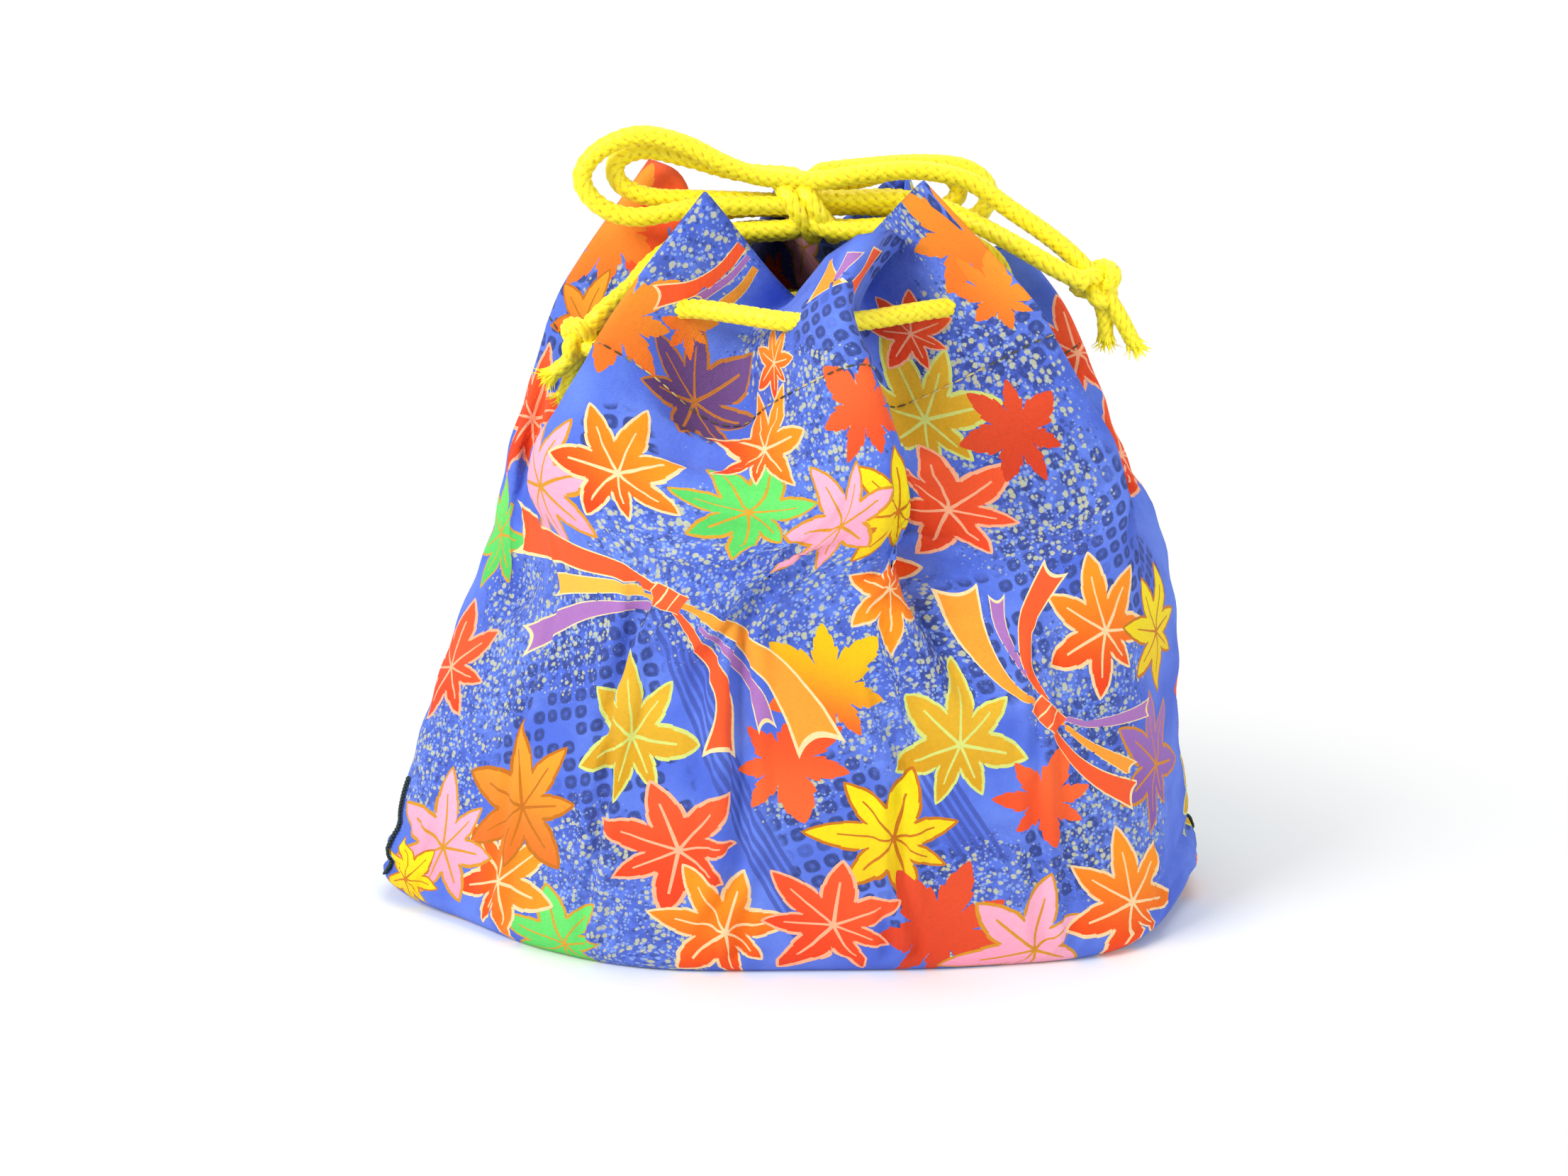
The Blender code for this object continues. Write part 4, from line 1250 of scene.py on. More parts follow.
RIGHT_EXIT_A = ((6, -2.5, 159.5), (14, -4, 158.5), (26, -5, 158.5), (36, -6, 156), (43, -9, 151))
RIGHT_EXIT_B = ((6, 2.5, 159), (14, 2, 158.5), (26, 1.5, 159), (38, 1, 157), (48, -2, 151))
LEFT_EXIT_A = (
    (4, 10, 157.5), (-8, 10.5, 157.5), (-16, 10, 156),
    (-22.5, 11.5, 153.5), (-29, 17.5, 149.5), (-37, 23, 145),
)
LEFT_EXIT_B = (
    (4, 9, 162.5), (-8, 9.5, 162.5), (-16, 9.5, 161.5),
    (-23, 12.5, 159.5), (-30, 17, 155), (-38, 17.5, 148.5),
)
LOOP_LEFT_OUTER = (
    (4, -1, 164), (-8, -2, 164), (-20, -2.5, 163.5), (-33, -2.5, 161.5), (-41, -2.5, 164),
    (-45, -2.5, 170), (-41, -2.5, 176), (-32, -2.5, 179.5), (-22, -2.5, 177.5), (-14, -2.2, 173.5),
    (-6, -1.5, 170.5), (4, -1, 169.5),
)
LOOP_LEFT_INNER = (
    (4, 4, 164), (-8, 4, 164.5), (-20, 3.5, 165), (-30, 3, 165.5), (-37, 3, 168.5),
    (-37.5, 3, 173.5), (-31, 3, 176), (-21, 3, 174), (-10, 4, 171), (4, 4, 170),
)
LOOP_RIGHT_OUTER = (
    (6, 7, 158.5), (16, 8, 158), (28, 9, 158.5), (38, 10, 158.5), (45, 9, 161.5),
    (46.5, 9, 167), (41, 9, 171.5), (30, 9, 172.5), (16, 9, 171.5), (6, 7, 170.5),
)
LOOP_RIGHT_INNER = (
    (6, 10.5, 162.5), (18, 14, 162.5), (28, 15, 161.5), (36, 15, 161.5), (40.5, 14.5, 166),
    (36, 14.5, 170.5), (26, 14.5, 170.5), (17, 14, 168.5), (6, 11.5, 167.3),
)
RIGHT_TAIL_UPPER = (
    (6, -1.5, 169), (14, -2, 170.5), (22, -2, 171.5), (31, -2.5, 171.7), (41, -3, 169.5),
    (50, -3.5, 163.5), (58, -4, 158.2), (64, -4, 153.5), (69, -4.5, 148.5),
)
RIGHT_TAIL_LOWER = (
    (6, 2.5, 165), (14, 3, 165), (26, 2.5, 165.2), (36, 0, 163), (44, -4, 159.5),
    (52, -8, 155.5), (60, -9.5, 151), (67, -8.5, 147.5),
)
LEFT_TAIL_UPPER = (
    (4, -2, 159), (-6, -2.5, 158.5), (-15, -3, 158), (-23, -6, 155.5), (-29, -9.5, 151),
    (-34.5, -13, 146.5), (-40, -16.5, 142), (-44, -17, 137.5),
)
LEFT_TAIL_LOWER = (
    (4, 3, 158), (-6, 3, 157.5), (-14, 3, 157.2), (-22.5, 1.5, 155.8), (-31, -3, 150),
    (-37, -8.5, 141.5), (-42.5, -13, 137),
)
RIGHT_ENDS = (
    ((70, -4, 146), (72, -4, 140), (72.5, -4, 134)),
    ((71, -5, 146), (75, -6, 140), (79, -6, 133)),
)
LEFT_ENDS = (
    ((-44, -16, 135), (-48, -17, 131), (-52, -17, 128)),
    ((-45, -16, 134), (-47, -15, 128), (-49, -14, 123)),
)
BOW_CENTRE, BOW_HALF_SIZE = (5, 4, 163), (6.5, 9.5, 9.5)
RIGHT_KNOT_CENTRE, LEFT_KNOT_CENTRE, KNOT_HALF_SIZE = (70, -5, 147), (-44, -16, 136), (5.5, 4.6, 4.6)
# The notches that each cord passes, in order, and whether it shows outside there.
RIGHT_CORD_NOTCHES = ((5, True), (3, True), (1, False), (15, False), (13, False), (11, False), (9, False))
LEFT_CORD_NOTCHES = ((13, True), (11, True), (9, True), (7, False), (5, False), (3, False), (1, False))
RIGHT_EXIT_NOTCH, LEFT_EXIT_NOTCH = 7, 15
HOLE_SHARE, EXIT_HOLE_SHARE = 0.5, 0.4
INSIDE_OFFSET, RIGHT_CORD_INSIDE_RISE = 7, 5
# The distance between a route's points, how often its corners are softened, and how many cord diameters
# outside its hole the part inside the mouth ends.
ROUTE_STEP, SOFTENING, SHOWN_DIAMETERS = 0.5, 12, 1.2


def loft_point(fold, row):
    return loft(np.array([float(row)]), np.array([float(fold) % FOLD_COUNT]))[0, 0]


def loft_normal(fold, row):
    step = 0.02
    across = loft_point(fold + step, row) - loft_point(fold - step, row)
    up = loft_point(fold, min(row + step, HEM_ROW)) - loft_point(fold, max(row - step, 0))
    return unit(np.cross(across, up))


def round_the_mouth(exit_notch, notches, row, rise):
    """The route of a cord from its first hole, back round the mouth of the pouch, to its last hole."""
    route = [loft_point(exit_notch - EXIT_HOLE_SHARE, row)]
    for notch, outside in notches:
        if outside:
            route += [loft_point(notch + HOLE_SHARE, row), loft_point(notch - HOLE_SHARE, row)]
        else:
            route.append(loft_point(notch, row) - INSIDE_OFFSET * loft_normal(notch, row) + (0, 0, rise))
    route.append(loft_point(exit_notch + EXIT_HOLE_SHARE, row))
    return np.array(route)


def smooth_route(points):
    count = len(points)
    return respaced(spline(points, np.linspace(0, count - 1, 24 * (count - 1) + 1)), ROUTE_STEP)


def cord_lines():
    """Each cord's lines of points in the part's metres: through the cloth, and its two free strands."""
    rings = {
        "right": round_the_mouth(RIGHT_EXIT_NOTCH, RIGHT_CORD_NOTCHES, CORD_ROW, RIGHT_CORD_INSIDE_RISE),
        "left": round_the_mouth(LEFT_EXIT_NOTCH, LEFT_CORD_NOTCHES, LEFT_CORD_ROW, 0),
    }
    exits = {"right": (RIGHT_EXIT_A, RIGHT_EXIT_B), "left": (LEFT_EXIT_A, LEFT_EXIT_B)}
    loops = {"right": (LOOP_LEFT_OUTER, LOOP_LEFT_INNER), "left": (LOOP_RIGHT_OUTER, LOOP_RIGHT_INNER)}
    tails = {"right": (RIGHT_TAIL_UPPER, RIGHT_TAIL_LOWER), "left": (LEFT_TAIL_UPPER, LEFT_TAIL_LOWER)}
    lines = {}
    for side in ("right", "left"):
        exit_a, exit_b = exits[side]
        whole = smooth_route(np.vstack([exit_a, rings[side], exit_b[::-1]]))
        outside = int(round(SHOWN_DIAMETERS * CORD_DIAMETER / MM / ROUTE_STEP))
        first = int(np.linalg.norm(whole - rings[side][0], axis=1).argmin()) - outside
        last = int(np.linalg.norm(whole - rings[side][-1], axis=1).argmin()) + outside
        lines[f"{side}_cord_in_mouth"] = placed(whole[first : last + 1])
        ways = {"a": whole[: first + 1][::-1], "b": whole[last:]}
        for strand, loop, tail in zip("ab", loops[side], tails[side]):
            route = np.vstack([ways[strand][:-3], smooth_route(loop)[3:-3], smooth_route(tail)[3:]])
            lines[f"{side}_cord_strand_{strand}"] = placed(softened(route))
    return lines


def softened(route):
    """A route whose corners, inside the bow, are rounded off a little."""
    line = respaced(route, ROUTE_STEP)
    for _ in range(SOFTENING):
        line[1:-1] = (line[:-2] + 2 * line[1:-1] + line[2:]) / 4
    return line


# Knots

# The bow's two wraps: how far each lies from the bow's middle, and how it leans.
BOW_WRAPS = ((-2.2, 0.62), (2.2, 0.68))
# How much the middle of an end knot's cord lies within the knot's own half size, and how thick the cord is
# in the knot and in its cut ends.
KNOT_INSET = (0.9, 1.2, 0.6)
KNOT_CORD, CUT_END_CORD = 0.0040, 0.0042
# Loose fibres at each cut end, and the radius of one at its root, its middle and its tip.
FIBRES = 46
FIBRE_RADII = (0.00028, 0.00024, 0.00010)


def ellipse(centre, across, up, half_across, half_up):
    """A closed line of points round an ellipse."""
    turns = np.linspace(0, 2 * math.pi, 60, endpoint=False)[:, None]
    sideways = half_across * np.cos(turns) * np.array(across)
    upwards = half_up * np.sin(turns) * np.array(up)
    return np.array(centre) + sideways + upwards


def overhand(centre, size, turn):
    """The line of a tight overhand knot: a trefoil, flattened and turned."""
    t = np.linspace(0, 2 * math.pi, 160, endpoint=False)
    shape = np.stack([
        (np.sin(t) + 2 * np.sin(2 * t)) / 3,
        (np.cos(t) - 2 * np.cos(2 * t)) / 3,
        -np.sin(3 * t) * 0.62,
    ], axis=1)
    cosine, sine = math.cos(turn), math.sin(turn)
    turned = np.stack([
        shape[:, 0] * cosine - shape[:, 1] * sine,
        shape[:, 2],
        shape[:, 0] * sine + shape[:, 1] * cosine,
    ], axis=1)
    return placed(np.array(centre) + turned * np.array(size))


def frayed(ends, seed, material, name):
    """Loose fibres at the cut ends of a cord."""
    rng = np.random.default_rng(seed)
    points, faces = [], []
    for end in ends:
        line = placed(respaced(spline(end, np.linspace(0, 2, 40)), 0.5))
        way = unit(line[-1] - line[-6])
        side = np.array(Vector(way).orthogonal().normalized())
        up = np.cross(way, side)
        for _ in range(FIBRES):
            angle, out = rng.uniform(0, 2 * math.pi), math.sqrt(rng.uniform(0, 1))
            spread = (math.cos(angle) * side + math.sin(angle) * up) * out
            start = line[-1] - way * 0.0012 + spread * 0.0017
            reach = rng.uniform(0.0018, 0.0042)
            curl = unit(way + spread * 0.75 + rng.normal(0, 0.16, 3))
            fibre = np.array([start, start + way * reach * 0.5 + spread * 0.0004, start + curl * reach])
            first = len(points)
            for place, radius in zip(fibre, FIBRE_RADII):
                for k in range(3):
                    around = 2 * math.pi * k / 3
                    points.append(place + radius * (math.cos(around) * side + math.sin(around) * up))
            for ring in range(2):
                for k in range(3):
                    a, b = first + ring * 3 + k, first + ring * 3 + (k + 1) % 3
                    faces.append((a, b, b + 3, a + 3))
            faces += [(first + 2, first + 1, first), (first + 6, first + 7, first + 8)]
    mesh = bpy.data.meshes.new(name)
    mesh.from_pydata([tuple(p) for p in points], [], faces)
    shade = mesh.attributes.new("braid", "FLOAT_VECTOR", "POINT")
    shade.data.foreach_set("vector", np.full(3 * len(points), 0.9, np.float32))
    return linked(name, mesh, material)


def joined(name, parts):
    """Several mesh objects as one."""
    shape = bmesh.new()
    for part in parts:
        shape.from_mesh(part.data)
    mesh = bpy.data.meshes.new(name)
    shape.to_mesh(mesh)
    shape.free()
    mesh.polygons.foreach_set("material_index", np.zeros(len(mesh.polygons), np.int32))
    material = next(material for material in parts[0].data.materials if material)
    for part in parts:
        bpy.data.objects.remove(part)
    return linked(name, mesh, material)


# Geometry Nodes for what repeats

def geometry_tree(name, inputs):
    tree = bpy.data.node_groups.new(name, "GeometryNodeTree")
    tree.interface.new_socket("Geometry", in_out="INPUT", socket_type="NodeSocketGeometry")
    identifiers = {}
    for label, kind, value in inputs:
        socket = tree.interface.new_socket(label, in_out="INPUT", socket_type=kind)
        if value is not None:
            socket.default_value = value
        identifiers[label] = socket.identifier
    tree.interface.new_socket("Geometry", in_out="OUTPUT", socket_type="NodeSocketGeometry")
    return tree, identifiers


def stitch_tree():
    """Lays a small round-ended stitch at every point, along the way that the point gives."""
    tree, identifiers = geometry_tree("thread_stitches", (
        ("Stitch Length", "NodeSocketFloat", 0.002),
        ("Thread", "NodeSocketFloat", 0.0003),
        ("Material", "NodeSocketMaterial", None),
    ))
    add, link = tree.nodes.new, tree.links.new
    start, end = add("NodeGroupInput"), add("NodeGroupOutput")
    capsule, shape = add("GeometryNodeMeshUVSphere"), add("GeometryNodeTransform")
    capsule.inputs["Segments"].default_value = 6
    capsule.inputs["Rings"].default_value = 5
    capsule.inputs["Radius"].default_value = 0.5
    size, direction = add("ShaderNodeCombineXYZ"), add("GeometryNodeInputNamedAttribute")
    direction.data_type = "FLOAT_VECTOR"
    direction.inputs["Name"].default_value = "way"
    turn, lay = add("FunctionNodeAlignRotationToVector"), add("GeometryNodeInstanceOnPoints")
    turn.axis = "Z"
    whole, paint = add("GeometryNodeRealizeInstances"), add("GeometryNodeSetMaterial")
    link(capsule.outputs["Mesh"], shape.inputs["Geometry"])
    link(start.outputs["Thread"], size.inputs[0])
    link(start.outputs["Thread"], size.inputs[1])
    link(start.outputs["Stitch Length"], size.inputs[2])
    link(size.outputs[0], shape.inputs["Scale"])
    link(direction.outputs["Attribute"], turn.inputs["Vector"])
    link(start.outputs["Geometry"], lay.inputs["Points"])
    link(shape.outputs[0], lay.inputs["Instance"])
    link(turn.outputs[0], lay.inputs["Rotation"])
    link(lay.outputs[0], whole.inputs[0])
    link(whole.outputs[0], paint.inputs["Geometry"])
    link(start.outputs["Material"], paint.inputs["Material"])
    link(paint.outputs[0], end.inputs[0])
    return tree, identifiers


def laid_stitches(name, places, ways, length, thread, material):
    """Stitches at these places, each along its way, as one plain mesh."""
    mesh = bpy.data.meshes.new(name + "_places")
    mesh.from_pydata([tuple(place) for place in places], [], [])
    way = mesh.attributes.new("way", "FLOAT_VECTOR", "POINT")
    way.data.foreach_set("vector", np.asarray(ways, np.float32).ravel())
    holder = bpy.data.objects.new(name + "_places", mesh)
    bpy.context.scene.collection.objects.link(holder)
    tree, identifiers = stitch_tree()
    modifier = holder.modifiers.new("stitches", "NODES")
    modifier.node_group = tree
    modifier[identifiers["Stitch Length"]] = length
    modifier[identifiers["Thread"]] = thread
    modifier[identifiers["Material"]] = material
    graph = bpy.context.evaluated_depsgraph_get()
    plain = bpy.data.meshes.new_from_object(holder.evaluated_get(graph))
    bpy.data.objects.remove(holder)
    plain.shade_smooth()
    made = bpy.data.objects.new(name, plain)
    bpy.context.scene.collection.objects.link(made)
    return made


# Sizes and colours that a user would change

class PouchSettings(bpy.types.PropertyGroup):
    """The cloth of the pouch."""
    cloth_thickness: bpy.props.FloatProperty(
        name="Cloth thickness", description="Thickness of the cotton", default=0.00042, unit="LENGTH",
    )
    ground_blue: bpy.props.FloatVectorProperty(
        name="Ground blue", description="The print's deeper blue", subtype="COLOR",
        default=linear(80, 108, 214),
    )
    pale_blue: bpy.props.FloatVectorProperty(
        name="Pale blue", description="The print's lighter blue", subtype="COLOR",
        default=linear(104, 134, 232),
    )
    stitch_length: bpy.props.FloatProperty(
        name="Stitch length", description="Length of one hem stitch", unit="LENGTH",
        default=0.0021,
    )
    stitch_gap: bpy.props.FloatProperty(
        name="Stitch spacing", description="Distance from one hem stitch to the next", unit="LENGTH",
        default=0.0027,
    )


class CordSettings(bpy.types.PropertyGroup):
    """The two drawcords."""
    cord_yellow: bpy.props.FloatVectorProperty(
        name="Cord yellow", description="The braid's colour on its strands", subtype="COLOR",
        default=linear(255, 239, 14),
    )
    # The grooves' colour is painted shade: the strands' yellow darkened where the braid dips.
    cord_groove_painted_shade: bpy.props.FloatVectorProperty(
        name="Cord shade", description="The braid's colour in its grooves", subtype="COLOR",
        default=linear(238, 188, 0),
    )


_shapes = {}


def pouch_shape():
    """The cloth's shape, worked out once."""
    if "pouch" not in _shapes:
        _shapes["pouch"] = Pouch()
    return _shapes["pouch"]


class POUCH_OT_cloth(bpy.types.Operator):
    """Builds the pouch's printed cloth, with its base and its folded hem"""
    bl_idname = "pouch.cloth"
    bl_label = "Cloth"

    def execute(self, context):
        settings = context.scene.pouch_settings
        pouch = pouch_shape()
        printed = Print(pouch)
        points, faces, flat = self.whole_cloth(pouch)
        mesh = bpy.data.meshes.new("pouch_cloth")
        mesh.from_pydata(points.tolist(), [], faces)
        self.lay_print(mesh, printed, flat)
        cloth = bpy.data.objects.new("printed_cloth", mesh)
        context.scene.collection.objects.link(cloth)
        wall = cloth.modifiers.new("thickness", "SOLIDIFY")
        wall.thickness = settings.cloth_thickness
        wall.offset = -1
        mesh.materials.append(cloth_material(settings, pouch.flat_place(BAND_PIXEL) / MM))
        plain = bpy.data.meshes.new_from_object(cloth.evaluated_get(context.evaluated_depsgraph_get()))
        cloth.modifiers.clear()
        cloth.data = plain
        plain.shade_smooth()
        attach(cloth, "root")
        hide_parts("pouch_cloth")
        return {"FINISHED"}

    @staticmethod
    def whole_cloth(pouch):
        """Points, faces and each corner's flat place: the walls and hem, the rounded edge and the base."""
        strip = pouch.strip.reshape(-1, 3)
        walls = Pouch.quads(len(pouch.strip))
        rows, columns = np.divmod(np.arange(len(walls)), COLUMNS)
        left, right = pouch.columns[columns], pouch.columns[columns + 1]
        low, high = pouch.heights[rows], pouch.heights[rows + 1]
        flat = face_corners(left, right, low, high)
        edge = pouch.strip[0]
        centre = np.array((edge[:, 0].mean(), edge[:, 1].mean(), 0))
        radius = BASE_EDGE_RADIUS * MM
        way = unit((edge - centre) * (1, 1, 0))
        lift = edge[:, 2:3] - radius
        rings, depths = [], []
        for k in range(1, EDGE_RINGS + 1):
            turn = math.pi / 2 * k / EDGE_RINGS
            ring = edge - way * radius * (1 - math.cos(turn))
            ring[:, 2] = edge[:, 2] - radius * math.sin(turn)
            rings.append(ring)
            depths.append(radius * turn)
        foot = rings[-1]
        for k in range(1, BASE_RINGS):
            share = 1 - k / BASE_RINGS
            ring = centre + (foot - centre) * share
            ring[:, 2] = lift[:, 0] * max(0, 1 - 4 * (1 - share))
            rings.append(ring)
            depths.append(radius * math.pi / 2 + k * BASE_RING_DEPTH)
        count = len(strip)
        points = np.vstack([strip, *rings, centre[None]])
        faces = walls.tolist()
        corners = [flat]
        left, right = pouch.columns[:-1], pouch.columns[1:]
        following = (np.arange(COLUMNS) + 1) % COLUMNS
        previous, above = np.arange(COLUMNS), 0.0
        for index, depth in enumerate(depths):
            current = count + index * COLUMNS + np.arange(COLUMNS)
            quad = np.stack([current, current[following], previous[following], previous], -1)
            faces += quad.tolist()
            if index < EDGE_RINGS:
                corners.append(face_corners(left, right, -depth, -above))
            else:
                corners.append(base_flat(points[quad][..., :2]))
            previous, above = current, depth
        last = len(points) - 1
        for k in range(COLUMNS):
            faces.append((int(previous[k]), last, int(previous[(k + 1) % COLUMNS])))
        fan = points[np.array(faces[-COLUMNS:])][..., :2]
        return points, faces, (np.concatenate(corners), base_flat(fan))

    @staticmethod
    def lay_print(mesh, printed, flat):
        """Gives the mesh its flat coordinates and the place of every printed shape."""
        quads, fan = flat
        padded = np.concatenate([fan, fan[:, 2:]], axis=1)
        both = np.concatenate([quads, padded])
        middle = both.mean(axis=1)
        count = len(quads)

        def corners(values):
            return np.concatenate([values[:count].reshape(-1, values.shape[-1]),
                                   values[count:, :3].reshape(-1, values.shape[-1])])

        uv = mesh.uv_layers.new(name="flat")
        uv.data.foreach_set("uv", corners(both).astype(np.float32).ravel())
        for layer, leaves in enumerate(printed.layers):
            add_vectors(mesh, f"leaves_{layer}", corners(leaf_attribute(leaves, both, middle)))
        add_vectors(mesh, "ribbons", corners(ribbon_attribute(printed.ribbons, both, middle)))
        add_vectors(mesh, "ties", corners(ribbon_attribute(printed.ties, both, middle)))
        speckle = printed.cloud(printed.speckle, both)
        dots = printed.cloud(printed.dots, both)
        bands = printed.cloud(printed.bands, both)
        add_vectors(mesh, "clouds", corners(np.stack([speckle, dots, bands], axis=-1)))


# Where the base lies on the flat cloth, and how far below the wall each of its rings counts.
BASE_PLACE = (0.24, -0.062)
BASE_RING_DEPTH = 0.0035


def face_corners(left, right, low, high):
    """The flat places of faces' corners, from the lower left round."""
    pairs = (left, low), (right, low), (right, high), (left, high)
    return np.stack([np.stack(np.broadcast_arrays(*pair), -1) for pair in pairs], axis=1)


def base_flat(points):
    """The base's own place on the flat cloth, well below the walls."""
    return points + np.array(BASE_PLACE)


def add_vectors(mesh, name, values):
    attribute = mesh.attributes.new(name, "FLOAT_VECTOR", "CORNER")
    attribute.data.foreach_set("vector", values.astype(np.float32).ravel())


# The hem's stitches: how far out of the cloth they lie, and how thick their thread is.
HEM_LIFT, HEM_THREAD = 0.00022, 0.00045
# The overlocked edges: how far out of the cloth they lie, the distance from one loop to the next, how much a
# loop leans, and the length and thickness of a loop and of a stitch of the spine.
OVERLOCK_LIFT, OVERLOCK_GAP, OVERLOCK_LEAN = 0.0006, 0.0009, 0.35
LOOP_SIZE, SPINE_SIZE = (0.0022, 0.0008), (0.0016, 0.0009)
# The seam edges: the fold that each runs up, and how high it shows, in millimetres.
SEAM_EDGES = (("left_seam_edge", LEFT_RIDGE + 0.15, 31), ("right_seam_edge", RIGHT_RIDGE - 0.1, 46))


class POUCH_OT_stitches(bpy.types.Operator):
    """Sews the hem's machine stitches and the overlocked seam edges"""
    bl_idname = "pouch.stitches"
    bl_label = "Stitches"

    def execute(self, context):
        settings = context.scene.pouch_settings
        pouch = pouch_shape()
        hem_thread = thread_material("hem_thread", linear(214, 190, 120), linear(66, 62, 34))
        row = pouch.outer[BODY_ROWS] + pouch.normals[BODY_ROWS] * HEM_LIFT
        line = np.vstack([row, row[:1]])
        even = respaced(line, settings.stitch_gap)
        ways = unit(np.diff(even, axis=0))
        places = (even[:-1] + even[1:]) / 2
        hem = laid_stitches("hem_stitches", places, ways, settings.stitch_length, HEM_THREAD, hem_thread)
        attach(hem, "root")
        dark = thread_material("overlock_thread", linear(12, 40, 34), linear(6, 14, 18))
        for name, fold, top in SEAM_EDGES:
            column = int(np.abs(pouch.folds - fold).argmin())
            side = pouch.outer[:, column]
            normals = pouch.normals[:, column]
            shown = side[:, 2] < top * MM
            places = respaced(side[shown] + normals[shown] * OVERLOCK_LIFT, OVERLOCK_GAP)
            along = unit(np.gradient(places, axis=0))
            across = unit(np.cross(along, normals[shown].mean(axis=0))) + OVERLOCK_LEAN * along
            loops = laid_stitches(name + "_loops", places, unit(across), *LOOP_SIZE, dark)
            spine = laid_stitches(name + "_spine", places, along, *SPINE_SIZE, dark)
            edge = joined(name + "_thread", [loops, spine])
            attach(edge, "root")
            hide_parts(name)
        return {"FINISHED"}


class POUCH_OT_cords(bpy.types.Operator):
    """Braids the two drawcords along their routes"""
    bl_idname = "pouch.cords"
    bl_label = "Drawcords"

    def execute(self, context):
        material = braid_material(context.scene.cord_settings)
        knots = self.knots(material)
        lines = cord_lines()
        for name, line in lines.items():
            side = name.split("_")[0]
            cord = braided(name, [line], material)
            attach(cord, "root")
            held = name.endswith("in_mouth")
            strand = name[-1]
            nodes = [f"{side}_cord_in_hem"] if held else [
                f"{side}_cord_exit_{strand}", f"{side}_cord_loop_{strand}", f"{side}_cord_tail_{strand}",
            ]
            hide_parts(*nodes)
            pieces = [] if held else [knots["bow"]] if strand == "b" else [knots[side]]
        return {"FINISHED"}

    @staticmethod
    def knots(material):
        """The bow's wraps, and the knot and frayed ends of each cord."""
        made = {}
        half = np.array(BOW_HALF_SIZE) - CORD_DIAMETER / MM / 2
        wraps = []
        for shift, lean in BOW_WRAPS:
            up = unit(np.array((lean, 0.0, -1.0)))
            centre = np.array(BOW_CENTRE) + (shift, 0, 0)
            wraps.append(placed(ellipse(centre, (0, 1, 0), up, half[1], half[2])))
        bow = braided("bow_knot_wraps", wraps, material, closed=True)
        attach(bow, "root")
        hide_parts("bow_knot")
        made["bow"] = bow
        for side, centre, ends, turn, seed in (
            ("right", RIGHT_KNOT_CENTRE, RIGHT_ENDS, 0.5, 11),
            ("left", LEFT_KNOT_CENTRE, LEFT_ENDS, -0.4, 12),
        ):
            size = np.array(KNOT_HALF_SIZE) - KNOT_INSET
            route = overhand(centre, size, turn)
            tie = braided(f"{side}_knot_tie", [route], material, KNOT_CORD, closed=True)
            lines = [placed(spline(end, np.linspace(0, 2, 30))) for end in ends]
            tails = braided(f"{side}_knot_tails", lines, material, CUT_END_CORD, taper=0.12)
            fibres = frayed(ends, seed, material, f"{side}_knot_fibres")
            knot = joined(f"{side}_knot", [tie, tails, fibres])
            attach(knot, "root")
            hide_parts(f"{side}_end_knot")
            made[side] = knot
        return made


# The soft lamps: place, width and power.
LAMPS = (
    ("key_lamp", (-0.95, -0.75, 0.90), 0.6, 17.0),
    ("fill_lamp", (0.90, -0.80, 0.50), 0.8, 6.0),
    ("top_lamp", (0.05, 0.15, 1.1), 0.7, 4.5),
)
LAMP_TARGET = Vector((0, 0, 0.07))
# The floor: its half size, its colour, and the distances between which it fades to the photograph's white.
FLOOR_HALF_SIZE = 6.0
SQUARE = ((-1, -1), (1, -1), (1, 1), (-1, 1))
FLOOR_COLOUR = (0.92, 0.95, 0.95, 1)
FLOOR_FADE, FLOOR_SQUASH = (0.09, 0.24), (1.0, 1.3, 1.0)
SKY_COLOUR, SKY_STRENGTH = (0.95, 0.97, 1.0, 1), 0.37


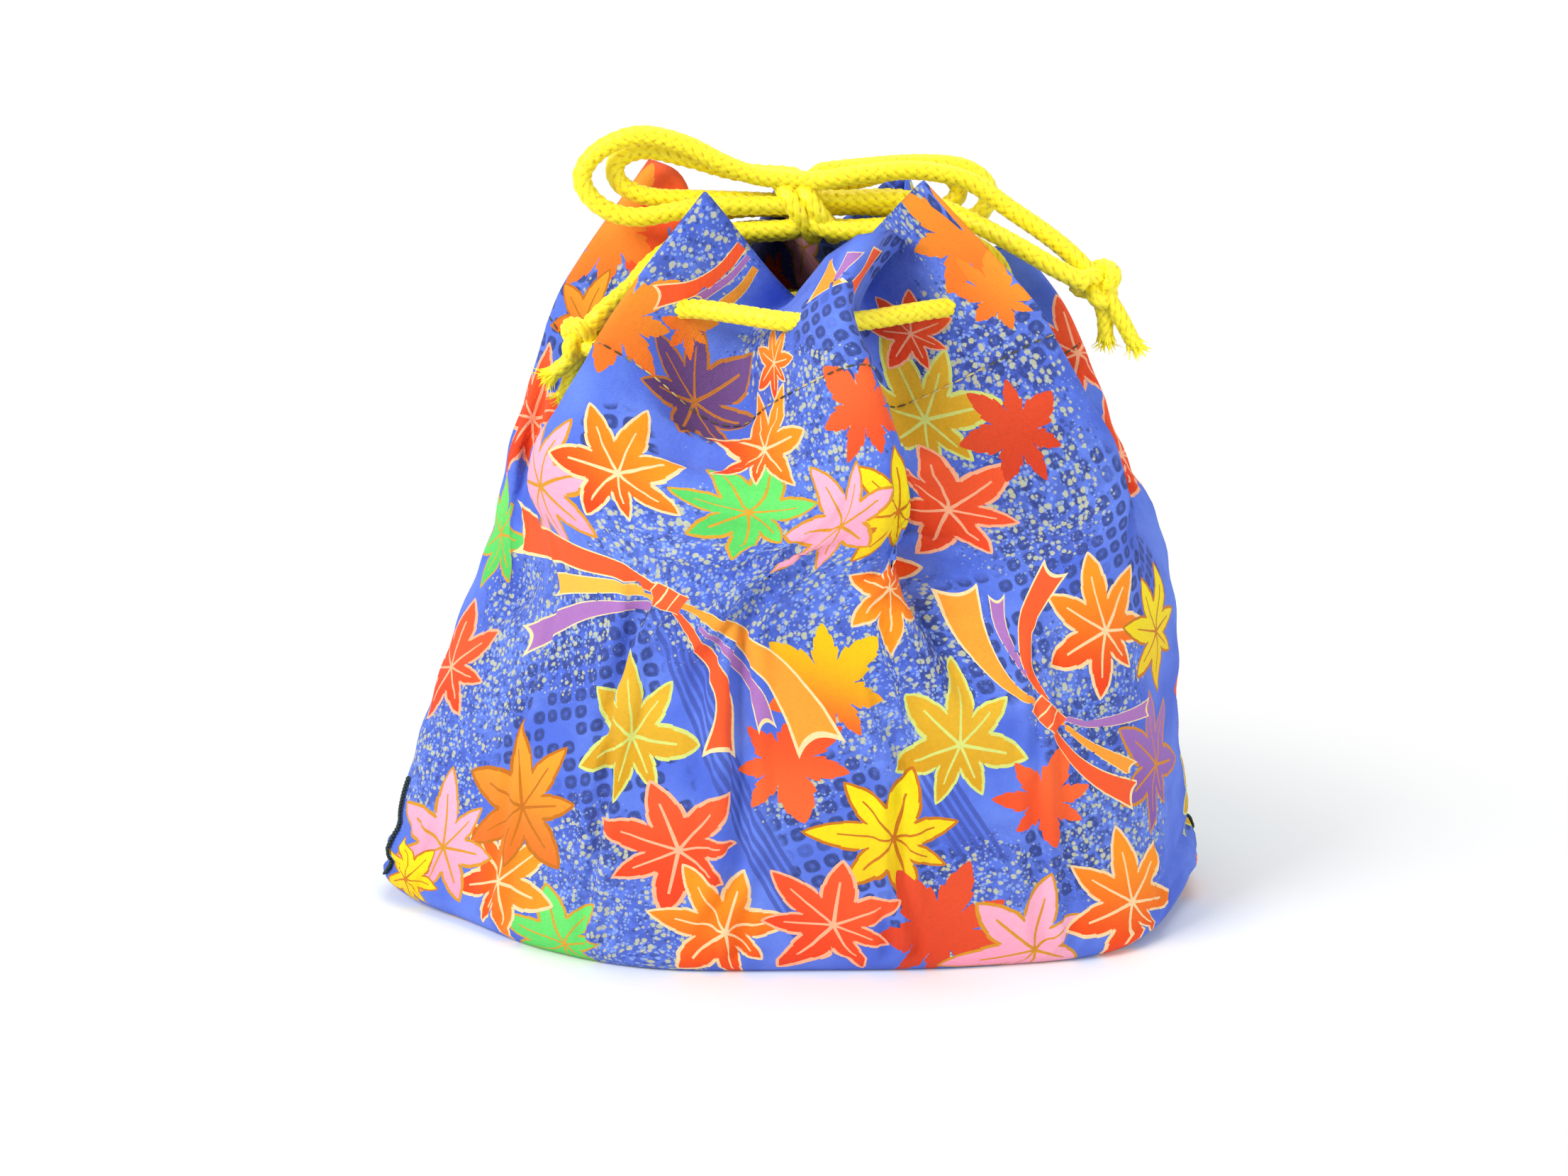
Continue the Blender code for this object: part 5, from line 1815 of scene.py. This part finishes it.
class POUCH_OT_stage(bpy.types.Operator):
    """Sets the pale floor, the soft lamps and the camera"""
    bl_idname = "pouch.stage"
    bl_label = "Stage"

    def execute(self, context):
        self.camera(context)
        self.floor(context)
        self.world(context)
        for name, place, size, power in LAMPS:
            data = bpy.data.lights.new(name, "AREA")
            data.size = size
            data.energy = power
            lamp = bpy.data.objects.new(name, data)
            lamp.location = place
            lamp.rotation_euler = (LAMP_TARGET - Vector(place)).to_track_quat("-Z", "Y").to_euler()
            context.scene.collection.objects.link(lamp)
        context.scene.view_settings.view_transform = "Standard"
        return {"FINISHED"}

    @staticmethod
    def camera(context):
        data = bpy.data.cameras.new("photo_camera")
        data.lens = LENS
        data.sensor_width = SENSOR
        camera = bpy.data.objects.new("photo_camera", data)
        eye, _, _, forward = camera_axes()
        camera.location = eye
        camera.rotation_euler = Vector(forward).to_track_quat("-Z", "Y").to_euler()
        context.scene.collection.objects.link(camera)
        context.scene.camera = camera

    @staticmethod
    def floor(context):
        mesh = bpy.data.meshes.new("floor")
        corners = [(x * FLOOR_HALF_SIZE, y * FLOOR_HALF_SIZE, 0) for x, y in SQUARE]
        mesh.from_pydata(corners, [], [(0, 1, 2, 3)])
        floor = bpy.data.objects.new("floor", mesh)
        context.scene.collection.objects.link(floor)
        desk = Desk("floor_paper")
        desk.shader.inputs["Base Color"].default_value = FLOOR_COLOUR
        desk.shader.inputs["Roughness"].default_value = 0.9
        light = desk.node("ShaderNodeLightPath", {}, {})
        glow = desk.node("ShaderNodeEmission", {}, {"Color": (1, 1, 1, 1), "Strength": 1.0})
        where = desk.node("ShaderNodeTexCoord", {}, {}).outputs["Object"]
        squashed = desk.node("ShaderNodeVectorMath", {"operation": "MULTIPLY"}, {
            0: where, 1: FLOOR_SQUASH,
        })
        far = desk.node("ShaderNodeVectorMath", {"operation": "LENGTH"}, {0: squashed.outputs[0]})
        away = Wire(desk, far.outputs["Value"]).step(*FLOOR_FADE)
        plain = desk.node("ShaderNodeMixShader", {}, {
            0: away * Wire(desk, light.outputs["Is Camera Ray"]),
            1: desk.shader.outputs[0],
            2: glow.outputs[0],
        })
        desk.join(plain.outputs[0], desk.output.inputs["Surface"])
        mesh.materials.append(desk.material)

    @staticmethod
    def world(context):
        world = bpy.data.worlds.new("studio")
        context.scene.world = world
        world.use_nodes = True
        tree = world.node_tree
        tree.nodes.clear()
        path = tree.nodes.new("ShaderNodeLightPath")
        seen = tree.nodes.new("ShaderNodeMath")
        seen.operation = "MAXIMUM"
        soft, white = tree.nodes.new("ShaderNodeBackground"), tree.nodes.new("ShaderNodeBackground")
        soft.inputs["Color"].default_value = SKY_COLOUR
        soft.inputs["Strength"].default_value = SKY_STRENGTH
        white.inputs["Strength"].default_value = 1.0
        white.inputs["Color"].default_value = (1, 1, 1, 1)
        mix, out = tree.nodes.new("ShaderNodeMixShader"), tree.nodes.new("ShaderNodeOutputWorld")
        tree.links.new(path.outputs["Is Camera Ray"], seen.inputs[0])
        tree.links.new(path.outputs["Is Glossy Ray"], seen.inputs[1])
        tree.links.new(seen.outputs[0], mix.inputs[0])
        tree.links.new(soft.outputs[0], mix.inputs[1])
        tree.links.new(white.outputs[0], mix.inputs[2])
        tree.links.new(mix.outputs[0], out.inputs["Surface"])


class POUCH_PT_panel(bpy.types.Panel):
    """Lists the pouch's pieces in the sidebar"""
    bl_idname = "POUCH_PT_panel"
    bl_label = "Drawstring Pouch"
    bl_space_type = "VIEW_3D"
    bl_region_type = "UI"
    bl_category = "Pouch"

    def draw(self, context):
        for settings in (context.scene.pouch_settings, context.scene.cord_settings):
            for name in settings.__annotations__:
                self.layout.prop(settings, name)
        for operator in OPERATORS:
            self.layout.operator(operator.bl_idname)


OPERATORS = (POUCH_OT_stage, POUCH_OT_cloth, POUCH_OT_stitches, POUCH_OT_cords)
CLASSES = (PouchSettings, CordSettings, *OPERATORS, POUCH_PT_panel)


def register():
    for cls in CLASSES:
        bpy.utils.register_class(cls)
    bpy.types.Scene.pouch_settings = bpy.props.PointerProperty(type=PouchSettings)
    bpy.types.Scene.cord_settings = bpy.props.PointerProperty(type=CordSettings)


def unregister():
    del bpy.types.Scene.cord_settings
    del bpy.types.Scene.pouch_settings
    for cls in reversed(CLASSES):
        bpy.utils.unregister_class(cls)


def main():
    register()
    bpy.ops.pouch.stage()
    bpy.ops.pouch.cloth()
    bpy.ops.pouch.stitches()
    bpy.ops.pouch.cords()


if __name__ == "__main__":
    main()
